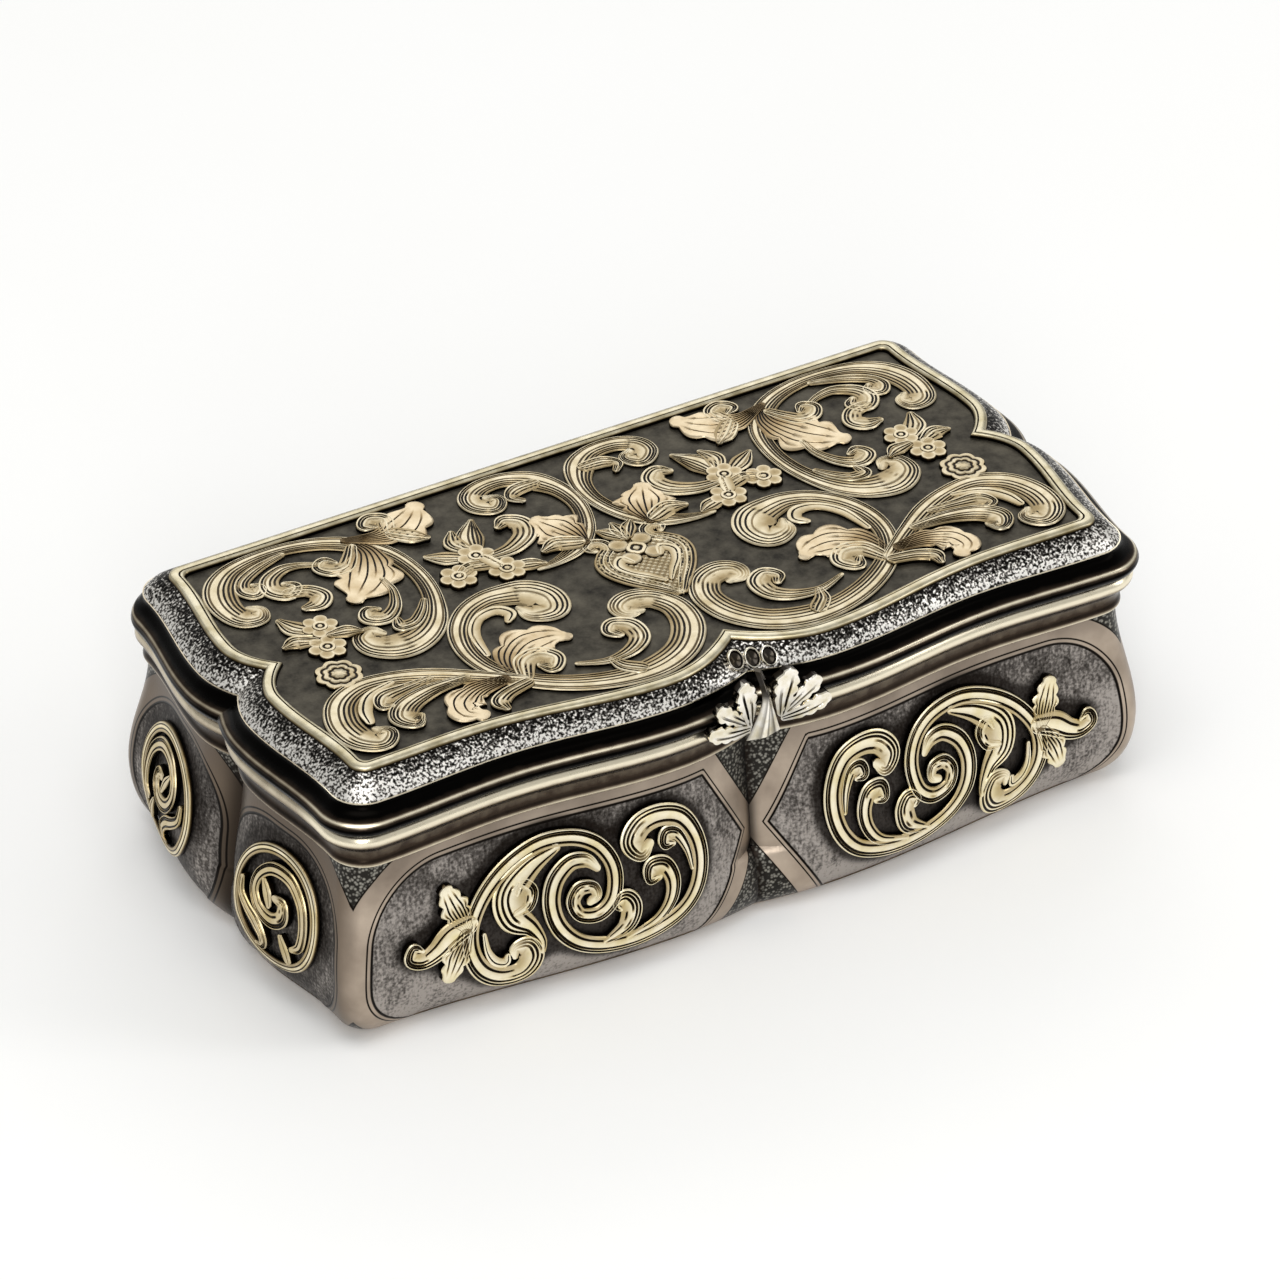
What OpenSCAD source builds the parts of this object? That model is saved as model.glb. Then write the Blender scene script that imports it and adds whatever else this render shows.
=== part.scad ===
// Table snuff box: a swelling bow-fronted body, a hinged lid with a stippled bevel,
// and applied gilt scrolls on the lid, the walls and the ends.
// The frame has +X along the length, -Y to the front and +Z up, from the middle of the base.

/* [Box] */
// Length between the corner lines of the gilt frame on the lid
frame_l = 80.8; // [70:0.2:110]
// Width between the corner lines of the gilt frame on the lid
frame_w = 38; // [34:0.2:56]
// Height of the closed box
box_h = 29; // [27:0.25:34]
// Height at which the walls swell furthest
bulge_z = 7.2; // [6:0.1:9]
// Thickness of the raised wall
wall_t = 1.0; // [0.8:0.1:1.4]
// Thickness of the base plate
base_t = 1.0; // [0.8:0.1:1.4]

/* [Lid] */
// Height of the lid, from its lower bead to the top of the gilt frame
lid_h = 4.9; // [4.7:0.05:5.6]
// Free height between the lid and the body rim
lid_gap = 0.1; // [0.05:0.01:0.2]
// Width of the gilt frame
frame_t = 1.4; // [1:0.1:2]
// Thickness of the applied lid scrolls
scroll_t = 0.45; // [0.3:0.05:0.5]

/* [Hinge] */
// Number of knuckles along the back
knuckle_count = 9; // [5:2:11]
// Length of the whole hinge
hinge_l = 72; // [50:1:72]
// Outer radius of a knuckle
knuckle_r = 1.2; // [1.1:0.05:1.3]
// Radius of the hinge pin
pin_r = 0.6; // [0.5:0.05:0.7]
// Radial running clearance of the pin in the knuckles
pin_gap = 0.05; // [0.02:0.01:0.08]

/* [Wall ornament] */
// Height of the applied wall scrolls
relief_h = 0.55; // [0.4:0.05:0.7]
// Solder film under the applied wall scrolls
solder_gap = 0.12; // [0.1:0.01:0.16]
// Radius of the ring of an end medallion
medal_r = 5.4; // [4.5:0.1:5.8]

/* [Hidden] */

silver = "#8f867c";
dark_silver = "#4a4744";
gilt = "#d8cda0";
ground = "#3a3833";

// Heights of the joints between the stacked pieces
rim_top = box_h - lid_h - lid_gap;
lid_z = box_h - lid_h;
wall_top = rim_top - 4.3;
bevel_z = lid_z + 2.75;
deck_z = box_h - 0.8;
plaque_top = deck_z + 0.3;
lining_t = 0.45;
deck_t = 0.8;

// The hinge stands behind the flattened back of both rims
rim_back = frame_w / 2 + 2.6;
hinge_y = rim_back + knuckle_r + 0.1;
hinge_z = rim_top + lid_gap / 2;
knuckle_pitch = hinge_l / knuckle_count;
knuckle_space = 0.1;
leaf_h = 1.9;

// Where the lobes of the bowed front and ends stand out furthest, from cusp to corner
front_peak = 0.225;
end_peak = 0.28;
// Points along half a bowed edge, and round a corner
front_n = 14;
end_n = 7;
corner_n = 4;

// How far the front draws in again between its lobes and the corners
front_hollow = 0.95;

// Outward swell at fraction u of the way from the middle cusp of a bowed edge to its corner;
// a bow is [swell, cusp, hollow]
function lobe(u, peak, bow) =
    let (t = 180 * (u - peak) / (1 - peak))
    u < peak
    ? bow[0] - (bow[0] - bow[1]) * pow(1 - u / peak, 2)
    : bow[0] * (0.5 + 0.5 * cos(t)) - bow[2] * (0.5 - 0.5 * cos(2 * t));

// Plan outline b outside the gilt frame: r is the corner radius, front and end are bows
function outline(b, r, front, end, back) =
    let (hx = frame_l / 2 + b,
         hy = frame_w / 2 + b,
         by = min(frame_w / 2 + b, back),
         edge = [for (i = [0:front_n]) let (u = pow(i / front_n, 1.5))
             [u * (hx - r), -hy - lobe(u, front_peak, front)]],
         front_corner = [for (i = [1:corner_n - 1]) let (a = 90 * i / corner_n)
             [hx - r + r * sin(a), -hy + r - r * cos(a)]],
         low_end = [for (i = [end_n:-1:1]) let (u = pow(i / end_n, 1.3))
             [hx + lobe(u, end_peak, end), -u * (hy - r)]],
         high_end = [for (i = [0:end_n]) let (u = pow(i / end_n, 1.3))
             [hx + lobe(u, end_peak, end), u * (by - r)]],
         back_corner = [for (i = [1:corner_n]) let (a = 90 * i / corner_n)
             [hx - r + r * cos(a), by - r + r * sin(a)]],
         half = concat(edge, front_corner, low_end, high_end, back_corner))
    concat(half, [for (i = [len(half) - 1:-1:1]) [-half[i].x, half[i].y]]);

// Outline of the lid and the rims, whose lobes flatten and cusps soften as they stand further out
function rim_front(b) = [2.25 - 0.5 * min(max(b, 0), 2.4), -1.2 + 0.26 * b, front_hollow];
function rim_outline(b) =
    outline(b, 1.6 + 0.75 * max(b, -1), rim_front(b), [1.4, -0.8 + 0.31 * b, 0], rim_back);

// Wall profile: how far the wall stands outside the gilt frame at height z
function wall_b(z) =
    z < bulge_z
    ? -1 + 4.5 * pow(1 - pow((bulge_z - z) / bulge_z, 2.6), 1 / 2.6)
    : 2 + 1.5 * (0.5 + 0.5 * cos(180 * (z - bulge_z) / (wall_top - bulge_z)));
// Shares of the swelling middle, of the wall below its neck, and of the base where the cusps run out
function fullness(z) = max(0, 1 - abs(z - bulge_z) / (wall_top - bulge_z));
function lowness(z) = min(1, (wall_top - z) / (wall_top - bulge_z));
function footing(z) = sqrt(max(0, 1 - z / bulge_z));
function wall_front(z) =
    [1.25 + lowness(z), -0.7 - 0.3 * fullness(z) + 2.4 * footing(z), front_hollow * (1 - lowness(z))];
function wall_end(z) = [1.4 + 0.7 * fullness(z), -0.2 - 0.5 * fullness(z) + 1.4 * footing(z), 0];
function wall_corner(z) = 3 - fullness(z);
function wall_outline(z, inset) =
    outline(wall_b(z) - inset, wall_corner(z) - 0.6 * inset, wall_front(z), wall_end(z), frame_w);

// A point on the wall, s along it and z up it, standing out by a given amount
function on_front(s, z, out) =
    let (b = wall_b(z), u = min(1, abs(s) / (frame_l / 2 + b - wall_corner(z))))
    [s, -frame_w / 2 - b - lobe(u, front_peak, wall_front(z)) - out, z];
function on_back(s, z, out) = [s, frame_w / 2 + wall_b(z) + out, z];
function on_end(s, z, out) =
    let (b = wall_b(z), u = min(1, abs(s) / (frame_w / 2 + b - wall_corner(z))))
    [-frame_l / 2 - b - lobe(u, end_peak, wall_end(z)) - out, s, z];
// The curtain just in front of the lid's lower bead, which carries the thumbpiece
function on_bead(s, z, out) =
    let (b = 4.05, u = abs(s) / (frame_l / 2 - 1))
    [s, -frame_w / 2 - b - lobe(u, front_peak, rim_front(b)) - out, z];
function on_face(face, s, z, out) =
    face == "front" ? on_front(s, z, out)
    : face == "back" ? on_back(s, z, out)
    : face == "end" ? on_end(s, z, out)
    : on_bead(s, z, out);

// A smooth curve through hand-set points of [along, up, half width]
function bend(a, b, c, d, t) =
    (2 * b + (c - a) * t + (2 * a - 5 * b + 4 * c - d) * t * t + (3 * b - a - 3 * c + d) * t * t * t) / 2;
function smooth(p, n) =
    concat([for (i = [0:len(p) - 2], k = [0:n - 1])
        bend(p[max(i - 1, 0)], p[i], p[i + 1], p[min(i + 2, len(p) - 1)], k / n)], [p[len(p) - 1]]);
function sideways(p) =
    [for (i = [0:len(p) - 1])
        let (a = p[max(i - 1, 0)], b = p[min(i + 1, len(p) - 1)], d = [b.x - a.x, b.y - a.y])
        [-d.y, d.x] / norm(d)];

// Solid lofted through outlines of equal count: a closed ring, or a dish capped at both ends
module loft(rings, ring = true) {
    n = len(rings[0]);
    m = len(rings);
    spans = ring ? m : m - 1;
    points = [for (r = rings) each r];
    sides = [for (i = [0:spans - 1], j = [0:n - 1])
        let (k = (j + 1) % n, up = ((i + 1) % m) * n)
        each [[i * n + j, up + j, up + k], [i * n + j, up + k, i * n + k]]];
    caps = ring ? [] : [[for (j = [0:n - 1]) j], [for (j = [n - 1:-1:0]) (m - 1) * n + j]];
    polyhedron(points, concat(sides, caps), convexity = 8);
}
function raised(outline, z) = [for (p = outline) [p.x, p.y, z]];
module rim_loft(profile, ring = true) {
    loft([for (p = profile) raised(rim_outline(p[0]), p[1])], ring);
}

// Cross-section of a low rounded strip of applied metal, at point p with half width vector w
function strip(face, p, w, height) =
    let (crown = 0.6, low = solder_gap, high = solder_gap + height,
         section = [on_face(face, p.x - w.x, p.y - w.y, low),
                    on_face(face, p.x - crown * w.x, p.y - crown * w.y, high),
                    on_face(face, p.x + crown * w.x, p.y + crown * w.y, high),
                    on_face(face, p.x + w.x, p.y + w.y, low)])
    face == "front" || face == "bead" ? reversed(section) : section;
function reversed(list) = [for (i = [len(list) - 1:-1:0]) list[i]];
// Strip swept along a curve on one face of the box, and strip bent to a hoop
module wall_ribbon(face, points, steps = 2, height = relief_h) {
    path = smooth(points, steps);
    side = sideways(path);
    loft([for (i = [0:len(path) - 1]) strip(face, path[i], side[i] * path[i][2], height)], false);
}
module wall_hoop(face, s, z, r, half_width) {
    loft([for (a = [0:20:340]) let (d = [cos(a), sin(a)])
        strip(face, [s, z] + r * d, -half_width * d, relief_h)]);
}

// Flat ribbon of sheet gold on the lid, as overlapping slices with rounded ends
module ribbon(points, steps = 3) {
    path = smooth(points, steps);
    side = sideways(path);
    last = len(path) - 1;
    for (i = [0:last - 1]) {
        p = [path[i].x, path[i].y];
        q = [path[i + 1].x, path[i + 1].y];
        v = side[i] * path[i][2];
        w = side[i + 1] * path[i + 1][2];
        polygon([p + v, q + w, q - w, p - v]);
    }
    for (i = [0, last]) translate([path[i].x, path[i].y]) circle(path[i][2], $fn = 12);
}
module flower(x, y, r) {
    translate([x, y]) {
        circle(0.45 * r, $fn = 12);
        for (a = [0:60:300]) rotate(a) translate([0.62 * r, 0]) circle(0.4 * r, $fn = 12);
    }
}

// Left half of the lid ornament: the loop in the back corner with its broad leaf, and the back leaf
corner_strokes = [
    [[-36.2, 9.4, 0.4], [-35.6, 8.7, 0.7], [-36.2, 7.8, 1.0], [-37.5, 8.3, 1.2], [-38, 10.2, 1.3],
     [-37.7, 12.4, 1.4], [-36.6, 14.4, 1.3], [-34.6, 15.9, 1.0], [-31.6, 16.6, 0.8], [-28.2, 16.5, 0.8],
     [-25, 15.5, 0.9], [-22.5, 13.7, 1.0], [-20.7, 11.2, 0.9], [-19.9, 8.2, 0.8], [-19.9, 5, 0.8],
     [-20.7, 1.9, 0.9], [-22.3, -0.9, 1.2], [-24.5, -2.6, 1.5], [-27, -3, 1.7], [-29, -1.9, 1.4],
     [-29.3, -0.3, 1.0], [-28.2, 0.4, 0.7], [-27.5, -0.4, 0.4]],
    [[-29.4, 15.8, 0.3], [-32.3, 15, 0.5], [-34.6, 13.7, 0.6], [-35.3, 12.3, 0.7], [-34.6, 11.4, 0.8],
     [-33.8, 12, 0.6], [-34.1, 12.6, 0.3]],
    [[-27.2, 12.6, 0.3], [-28.8, 13.4, 0.4], [-30.6, 13.6, 0.6], [-32.4, 12.6, 0.8], [-33, 11, 0.9],
     [-32, 9.8, 0.9], [-30.9, 10.5, 0.7], [-31.4, 11.2, 0.4]],
    [[-31.7, 9.7, 0.7], [-30.2, 9.3, 0.8], [-29.4, 7.9, 0.9], [-30.3, 6.9, 0.9], [-31.6, 6.8, 0.4]],
    [[-22.4, 13.8, 0.9], [-22.5, 11.4, 1.7], [-23.9, 8.9, 2.6], [-25.6, 7, 2.0], [-26.8, 5.9, 0.8]],
    [[-23.2, 13.4, 0.5], [-24.2, 11.9, 0.7], [-25.2, 10.9, 0.8], [-26.6, 11, 0.8], [-27.3, 12, 0.7],
     [-26.5, 12.7, 0.6], [-25.8, 12, 0.3]],
    [[-23.2, 7.2, 0.3], [-23.3, 5, 0.4], [-24.4, 2.7, 0.6], [-26, 1.6, 0.8], [-27.3, 2.3, 0.9],
     [-26.9, 3.4, 0.6], [-26, 3.1, 0.3]],
    [[-21.6, 2.2, 0.3], [-22.6, 0.8, 0.5], [-24, -0.4, 0.6], [-25.4, -0.4, 0.7], [-25.3, 0.6, 0.4]],
    [[-22.6, 14.4, 0.8], [-20, 13.2, 1.1], [-17.6, 13.7, 2.0], [-15.9, 15.1, 1.5], [-14.8, 16.6, 0.5]],
    [[-18.8, 14.4, 0.7], [-18.3, 16, 0.8], [-19.4, 16.7, 0.8], [-20.3, 15.9, 0.7], [-19.6, 15.3, 0.3]],
    [[-18.4, 13.2, 0.9], [-17.2, 12, 0.9], [-16.2, 11.2, 0.3]]];
// The scroll beside the middle of the back edge, with the leaf inside it
crest_strokes = [
    [[-8.1, 14.4, 0.4], [-7.3, 13.6, 0.8], [-8.2, 12.7, 1.0], [-9.4, 13.8, 1.1], [-9.1, 15.3, 1.1],
     [-7.3, 16.3, 1.0], [-4.7, 16.2, 1.0], [-2.6, 14.7, 1.3], [-1.2, 12.2, 1.0], [-0.9, 9.3, 0.8],
     [-1.6, 6.5, 0.8], [-3, 4.2, 0.9], [-5, 2.5, 0.8], [-7.4, 1.6, 0.5], [-9.6, 1.3, 0.2]],
    [[-3, 14.2, 0.7], [-4.8, 14.1, 0.8], [-5.9, 13.2, 0.5], [-5.2, 12.2, 0.3]],
    [[-4, 3, 0.7], [-4.3, 4.6, 1.6], [-5.2, 6.4, 1.9], [-6, 7.8, 0.8]],
    [[-4.6, 3.4, 0.9], [-6.2, 4, 1.0], [-7.6, 3.6, 0.4]]];
// The long scroll at the front, its leaf and the small volute, and the scroll in the front corner
front_strokes = [
    [[-13.6, -3.8, 0.4], [-14, -4.7, 0.7], [-12.6, -5.4, 1.1], [-11.3, -4, 1.4], [-11.8, -2.3, 1.5],
     [-13.8, -1.2, 1.4], [-16.4, -0.7, 1.2], [-19, -1.6, 1.1], [-21, -3.8, 1.1], [-22, -6.8, 1.0],
     [-21.8, -9.9, 0.9], [-20.4, -12.8, 0.9], [-18.2, -15, 1.0], [-15, -16.9, 1.1], [-11.3, -18, 1.2],
     [-7.7, -17.9, 1.4], [-4.5, -16.5, 1.4], [-2.3, -13.8, 1.4], [-1.7, -10.7, 1.3], [-2.8, -8.3, 1.3],
     [-4.8, -7.1, 1.2], [-6.4, -7.9, 1.1], [-6.1, -9.2, 0.8], [-5, -9.1, 0.4]],
    [[-20.8, -8.4, 0.3], [-20.2, -5, 0.5], [-18.6, -2.9, 0.5], [-16.6, -2.5, 0.6], [-15.7, -3.6, 0.6],
     [-16.4, -4.6, 0.3]],
    [[-20.3, -12.4, 0.8], [-19.2, -9.9, 1.7], [-17, -8.5, 1.8], [-14.7, -8.8, 1.2], [-13.3, -9.6, 0.4]],
    [[-19.4, -13.2, 0.7], [-18.4, -11.2, 1.0], [-16.7, -10.8, 1.0], [-15.7, -12, 0.9], [-16.6, -13.2, 0.8],
     [-17.3, -12.5, 0.4]],
    [[-8.6, -11.9, 0.4], [-9.1, -11, 0.7], [-8.2, -10.2, 0.9], [-7, -11.2, 1.0], [-7.2, -13.2, 0.9],
     [-9, -14.6, 0.7], [-11.6, -15, 0.4], [-14.4, -14, 0.2]],
    [[-11.2, -15.2, 0.4], [-10.8, -16.4, 0.7], [-9.8, -17.4, 0.8]],
    [[-20.2, -13.6, 0.7], [-23.6, -11.1, 0.9], [-27.2, -8.8, 1.1], [-30.6, -7.4, 1.0], [-33.8, -7.2, 1.1],
     [-36.4, -8.7, 1.3], [-37.7, -11.5, 1.4], [-37.5, -14.2, 1.4], [-36.1, -15.6, 1.2], [-34.9, -14.7, 0.9],
     [-35.5, -13.8, 0.4]],
    [[-30.8, -8, 0.3], [-33.4, -8.8, 0.5], [-34.9, -10.6, 0.6], [-35.4, -12.4, 0.4]],
    [[-27.4, -9.2, 0.4], [-30, -9.4, 0.6], [-32.3, -9.7, 0.9], [-33.2, -10.8, 0.6], [-32.5, -11.2, 0.3]],
    [[-24.6, -10.8, 0.5], [-28, -10.9, 0.8], [-31, -11.8, 1.1], [-32.4, -13.3, 1.2], [-31.8, -14.6, 0.8],
     [-31, -14, 0.4]],
    [[-21.6, -12.9, 0.6], [-24.6, -12.8, 1.0], [-26.8, -14, 1.4], [-27.4, -15.6, 1.2], [-26.6, -16.6, 0.6]],
    [[-20, -14.4, 0.6], [-22.2, -14.9, 0.7], [-23.6, -15.8, 0.8], [-23.6, -16.9, 0.4]]];
inner_flowers = [[-13.7, 6, 1.9], [-16.9, 3.8, 1.7], [-12.3, 2.8, 1.9]];
inner_leaves = [
    [[-13.4, 7.4, 0.7], [-12.7, 9.4, 1.1], [-11.4, 11.4, 0.4]],
    [[-14.8, 6.6, 0.6], [-16.2, 7.6, 0.9], [-17.4, 8.8, 0.3]],
    [[-12.4, 5.6, 0.5], [-10.2, 5.9, 0.7], [-8, 7.2, 0.9], [-7.4, 9.3, 0.9], [-8.6, 10.2, 0.7],
     [-9.2, 9.4, 0.4]],
    [[-13, 4.2, 0.7], [-15, 4.8, 0.7], [-16, 4.4, 0.6]],
    [[-13.2, 5.2, 0.6], [-12.8, 3.9, 0.6]]];
end_flowers = [[-33.3, -0.3, 2.0], [-32, 2.9, 1.4], [-34.3, -4.6, 2.1]];
end_leaves = [
    [[-33, 2, 0.7], [-34.4, 3.6, 1.0], [-34.8, 5.6, 0.4]],
    [[-33.8, 1.4, 0.6], [-35.2, 2, 0.8], [-36.4, 1.6, 0.3]],
    [[-33.6, -1.8, 0.7], [-34, -3.2, 0.7]]];
cartouche_half = [
    [0, -9.2], [-1.1, -7.4], [-3, -5.2], [-4.5, -3], [-4.7, -1], [-3.5, 0.5], [-1.5, 0.9], [-1, 2.2],
    [0, 4.2]];
cartouche_curl = [[-2.2, 0.6, 0.5], [-3, 1.6, 0.7], [-2.6, 2.6, 0.5]];

// Right-hand front panel ornament, as [along, up, half width]; the left one mirrors it
panel_strokes = [
    [[10.5, 14.4, 0.4], [10.2, 13.5, 0.7], [11.4, 12.9, 0.8], [12.4, 14.2, 0.9], [11.6, 15.7, 0.9],
     [9.6, 16.3, 1.0], [7.7, 15.2, 1.0], [6.6, 12.8, 1.0], [6.6, 9.9, 1.0], [7.8, 7.2, 1.0], [9.8, 5.2, 1.1],
     [12.4, 4.2, 1.2], [15.2, 3.9, 1.3], [18, 4.6, 1.2], [20.2, 6.4, 1.1], [21.1, 9.2, 1.1], [20.4, 12, 1.1],
     [18.4, 13.4, 1.0], [16.3, 12.8, 0.9], [15.4, 11, 0.8], [16.2, 9.4, 0.8], [17.9, 9.2, 0.8],
     [18.6, 10.5, 0.7], [17.5, 11.2, 0.4]],
    [[12.8, 4.8, 0.5], [10.6, 6.9, 0.7], [9.8, 9, 0.7], [10.4, 10.6, 0.8], [11.7, 10.6, 0.6], [12, 9.6, 0.3]],
    [[15.6, 4.5, 0.7], [13.8, 6.2, 0.8], [13.5, 7.9, 0.9], [14.6, 8.8, 0.9], [15.4, 8, 0.5]],
    [[15, 13.4, 0.4], [16.8, 15.3, 0.7], [19.8, 16.4, 0.9], [23.2, 16.2, 1.1], [26.4, 14.8, 1.2],
     [28.7, 12.2, 1.2], [29.7, 9, 1.1], [29.4, 6.1, 1.1], [27.8, 4.3, 1.2], [25.7, 4.6, 1.2],
     [25.1, 6.4, 1.0], [26.3, 7.3, 0.7], [27, 6.4, 0.3]],
    [[22.4, 15.8, 0.6], [24.6, 13.6, 1.1], [25.6, 11, 1.3], [24.7, 8.9, 1.1], [23.3, 8.5, 0.4]],
    [[24.8, 13.2, 0.5], [23.4, 12.8, 0.8], [22.5, 11.8, 0.9], [22.6, 10.8, 0.4]],
    [[29.2, 10.8, 0.7], [31.4, 10.5, 1.1], [33.6, 9.5, 1.0], [35.2, 8.4, 0.7], [36.6, 8.9, 0.6],
     [36.7, 10.1, 0.6], [35.8, 10.4, 0.3]],
    [[30, 10.6, 0.7], [31.2, 12.4, 1.1], [31, 14.2, 0.4]],
    [[30.8, 9.8, 0.8], [31.9, 7.8, 1.0], [32.4, 5.8, 0.3]]];
// Scroll inside the ring of an end medallion, from the ring's middle
medal_strokes = [
    [[-2.4, -3.9, 0.4], [-3.4, -1.2, 0.7], [-2.6, 1.8, 0.9], [0, 3, 0.9], [2.2, 1.8, 0.8], [2.4, -0.2, 0.7],
     [0.8, -0.9, 0.8], [0, 0, 0.4]],
    [[-3.2, 3.4, 0.4], [-1.2, 2.4, 0.6], [-0.6, 0.8, 0.3]],
    [[3.4, -3.2, 0.4], [1.6, -2.6, 0.8], [-0.6, -3.4, 0.5], [-2, -4, 0.3]]];
medal_s = 10.2;
medal_z = 10;

// Leaves of the thumbpiece, as [along, up from the top of the box, half width], and their root
thumb_leaves = [
    [[1.5, -5, 0.4], [1.9, -2.9, 0.8], [2.2, -0.9, 0.4]],
    [[1.6, -5.1, 0.4], [2.8, -3.1, 0.9], [3.5, -1.3, 0.4]],
    [[1.8, -5.2, 0.4], [3.4, -3.8, 0.8], [4.4, -2.4, 0.4]],
    [[1.9, -5.4, 0.4], [4.2, -4.4, 0.9], [5.9, -3.4, 0.4]],
    [[1.9, -5.7, 0.4], [4.4, -5.2, 0.8], [6.3, -4.6, 0.4]],
    [[1.8, -6, 0.4], [4, -5.9, 0.7], [5.8, -5.6, 0.4]]];

// Base plate with its edge rounded up to meet the wall
module base_plate() {
    color(silver)
    loft([for (t = [0, 0.2, 0.6, 1]) raised(wall_outline(base_t * t, 0), base_t * t)], false);
}
// Raised wall, swelling below and drawn in to a neck
module body_shell() {
    outer = [for (t = [0, 0.08, 0.18, 0.33, 0.46, 0.58, 0.7, 0.82, 0.92, 1])
        base_t + t * (wall_top - base_t)];
    inner = [for (t = [1, 0.65, 0.33, 0]) base_t + t * (wall_top - base_t)];
    color(silver)
    loft(concat([for (z = outer) raised(wall_outline(z, 0), z)],
                [for (z = inner) raised(wall_outline(z, wall_t), z)]));
}
// Moulded rim of the body, a bead over a hollow, with the ledge that carries the bezel
module body_rim() {
    profile = [[2.3, 0], [2.5, 0.2], [2.45, 0.6], [2.3, 1.1], [2.45, 1.95], [3.05, 2.5], [3.45, 3],
               [3.5, 3.45], [3.3, 3.95], [2.9, 4.3], [1, 4.3], [1, 2.8], [0.2, 2.8], [0.2, 1.9], [1, 0]];
    color(silver) rim_loft([for (p = profile) [p[0], wall_top + p[1]]]);
}
// Upright flange that the lid closes over
module bezel() {
    color(gilt) translate([0, 0, wall_top + 2.8])
    linear_extrude(rim_top - wall_top - 2.8 + 1.4) difference() {
        polygon(rim_outline(0.95));
        polygon(rim_outline(0.2));
    }
}
// Every second knuckle along the back, each with a leaf that meets one rim
module knuckles(first, leaf_low) {
    for (i = [first:2:knuckle_count - 1])
        translate([-hinge_l / 2 + i * knuckle_pitch + knuckle_space / 2, 0, hinge_z])
        difference() {
            length = knuckle_pitch - knuckle_space;
            union() {
                translate([0, hinge_y, 0]) rotate([0, 90, 0]) cylinder(r = knuckle_r, h = length, $fn = 48);
                translate([0, rim_back, leaf_low]) cube([length, knuckle_r, leaf_h - 0.1]);
            }
            translate([-1, hinge_y, 0]) rotate([0, 90, 0])
            cylinder(r = pin_r + pin_gap, h = length + 2, $fn = 48);
        }
}
module body_knuckles() { color(silver) knuckles(0, -leaf_h); }
module lid_knuckles() { color(silver) knuckles(1, 0.1); }
module hinge_pin() {
    color(dark_silver) translate([-hinge_l / 2, hinge_y, hinge_z]) rotate([0, 90, 0])
    cylinder(r = pin_r, h = hinge_l, $fn = 48);
}
// Applied scroll on one half of the front or the back
module panel_scroll(face, side) {
    color(gilt) for (stroke = panel_strokes)
        wall_ribbon(face, [for (p = stroke) [side * p.x, p.y, p[2]]]);
}
// Applied ring and scroll on one lobe of an end
module medallion(end, lobe_side) {
    color(gilt) mirror([end > 0 ? 1 : 0, 0, 0]) {
        wall_hoop("end", lobe_side * medal_s, medal_z, medal_r, 0.55);
        for (stroke = medal_strokes)
            wall_ribbon("end", [for (p = stroke) [lobe_side * (medal_s + p.x), medal_z + p.y, p[2]]]);
    }
}
// Side of the lid, a bead below a broad hollow
module lid_rim() {
    profile = [[3.3, 0], [3.75, 0.2], [3.95, 0.65], [3.8, 1.15], [3.4, 1.45], [2.7, 1.7], [2.25, 2.05],
               [2.1, 2.45], [2.3, 2.6], [2.3, 2.75], [1.2, 2.75], [1.2, 0]];
    color(dark_silver) rim_loft([for (p = profile) [p[0], lid_z + p[1]]]);
}
// Stippled bevel and the deck that the frame and the plaque lie on
module lid_shell() {
    color(silver)
    rim_loft([[0.5, deck_z - deck_t], [1, bevel_z], [2.2, bevel_z], [1.45, bevel_z + 0.85],
              [0.05, box_h - 0.4], [0.05, deck_z]], false);
}
module lid_lining() {
    color(gilt) translate([0, 0, deck_z - deck_t - lining_t])
    linear_extrude(lining_t) polygon(rim_outline(0.4));
}
module lid_plaque() {
    color(ground) translate([0, 0, deck_z])
    linear_extrude(plaque_top - deck_z) polygon(rim_outline(-frame_t - 0.05));
}
module lid_frame() {
    color(gilt)
    rim_loft([[0, deck_z], [0, box_h - 0.25], [-0.3, box_h], [0.3 - frame_t, box_h],
              [-frame_t, box_h - 0.25], [-frame_t, deck_z]]);
}
// Flat shapes of the lid ornament, each drawn in its left-hand place
module strokes(list) { for (stroke = list) ribbon(stroke); }
module corner_shape() { strokes(corner_strokes); }
module crest_shape() { strokes(crest_strokes); }
module front_shape() { strokes(front_strokes); }
module inner_flowers_shape() {
    strokes(inner_leaves);
    for (f = inner_flowers) flower(f.x, f.y, f[2]);
}
module end_flowers_shape() {
    strokes(end_leaves);
    for (f = end_flowers) flower(f.x, f.y, f[2]);
}
module cartouche_shape() {
    half = smooth(cartouche_half, 3);
    polygon(concat(half, [for (p = reversed(half)) [-p.x, p.y]]));
    for (side = [-1, 1]) ribbon([for (p = cartouche_curl) [-side * p.x, p.y, p[2]]]);
}
// One piece of lid ornament, kept inside the frame and clear of the pieces laid before it
module lid_ornament(side) {
    color(gilt) translate([0, 0, plaque_top]) mirror([side > 0 ? 1 : 0, 0, 0])
    linear_extrude(scroll_t) offset(delta = -0.02) intersection() {
        offset(delta = -0.1) polygon(rim_outline(-frame_t));
        difference() {
            children(0);
            if ($children > 1) offset(delta = 0.12) children([1:$children - 1]);
        }
    }
}
module corner_scroll(side) { lid_ornament(side) corner_shape(); }
module front_scroll(side) { lid_ornament(side) { front_shape(); corner_shape(); } }
module crest_scroll(side) {
    lid_ornament(side) { crest_shape(); corner_shape(); translate([0, -20]) square([1, 40]); }
}
module inner_flower_spray(side) {
    lid_ornament(side) { inner_flowers_shape(); corner_shape(); crest_shape(); front_shape(); }
}
module end_flower_spray(side) {
    lid_ornament(side) { end_flowers_shape(); corner_shape(); front_shape(); }
}
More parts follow.
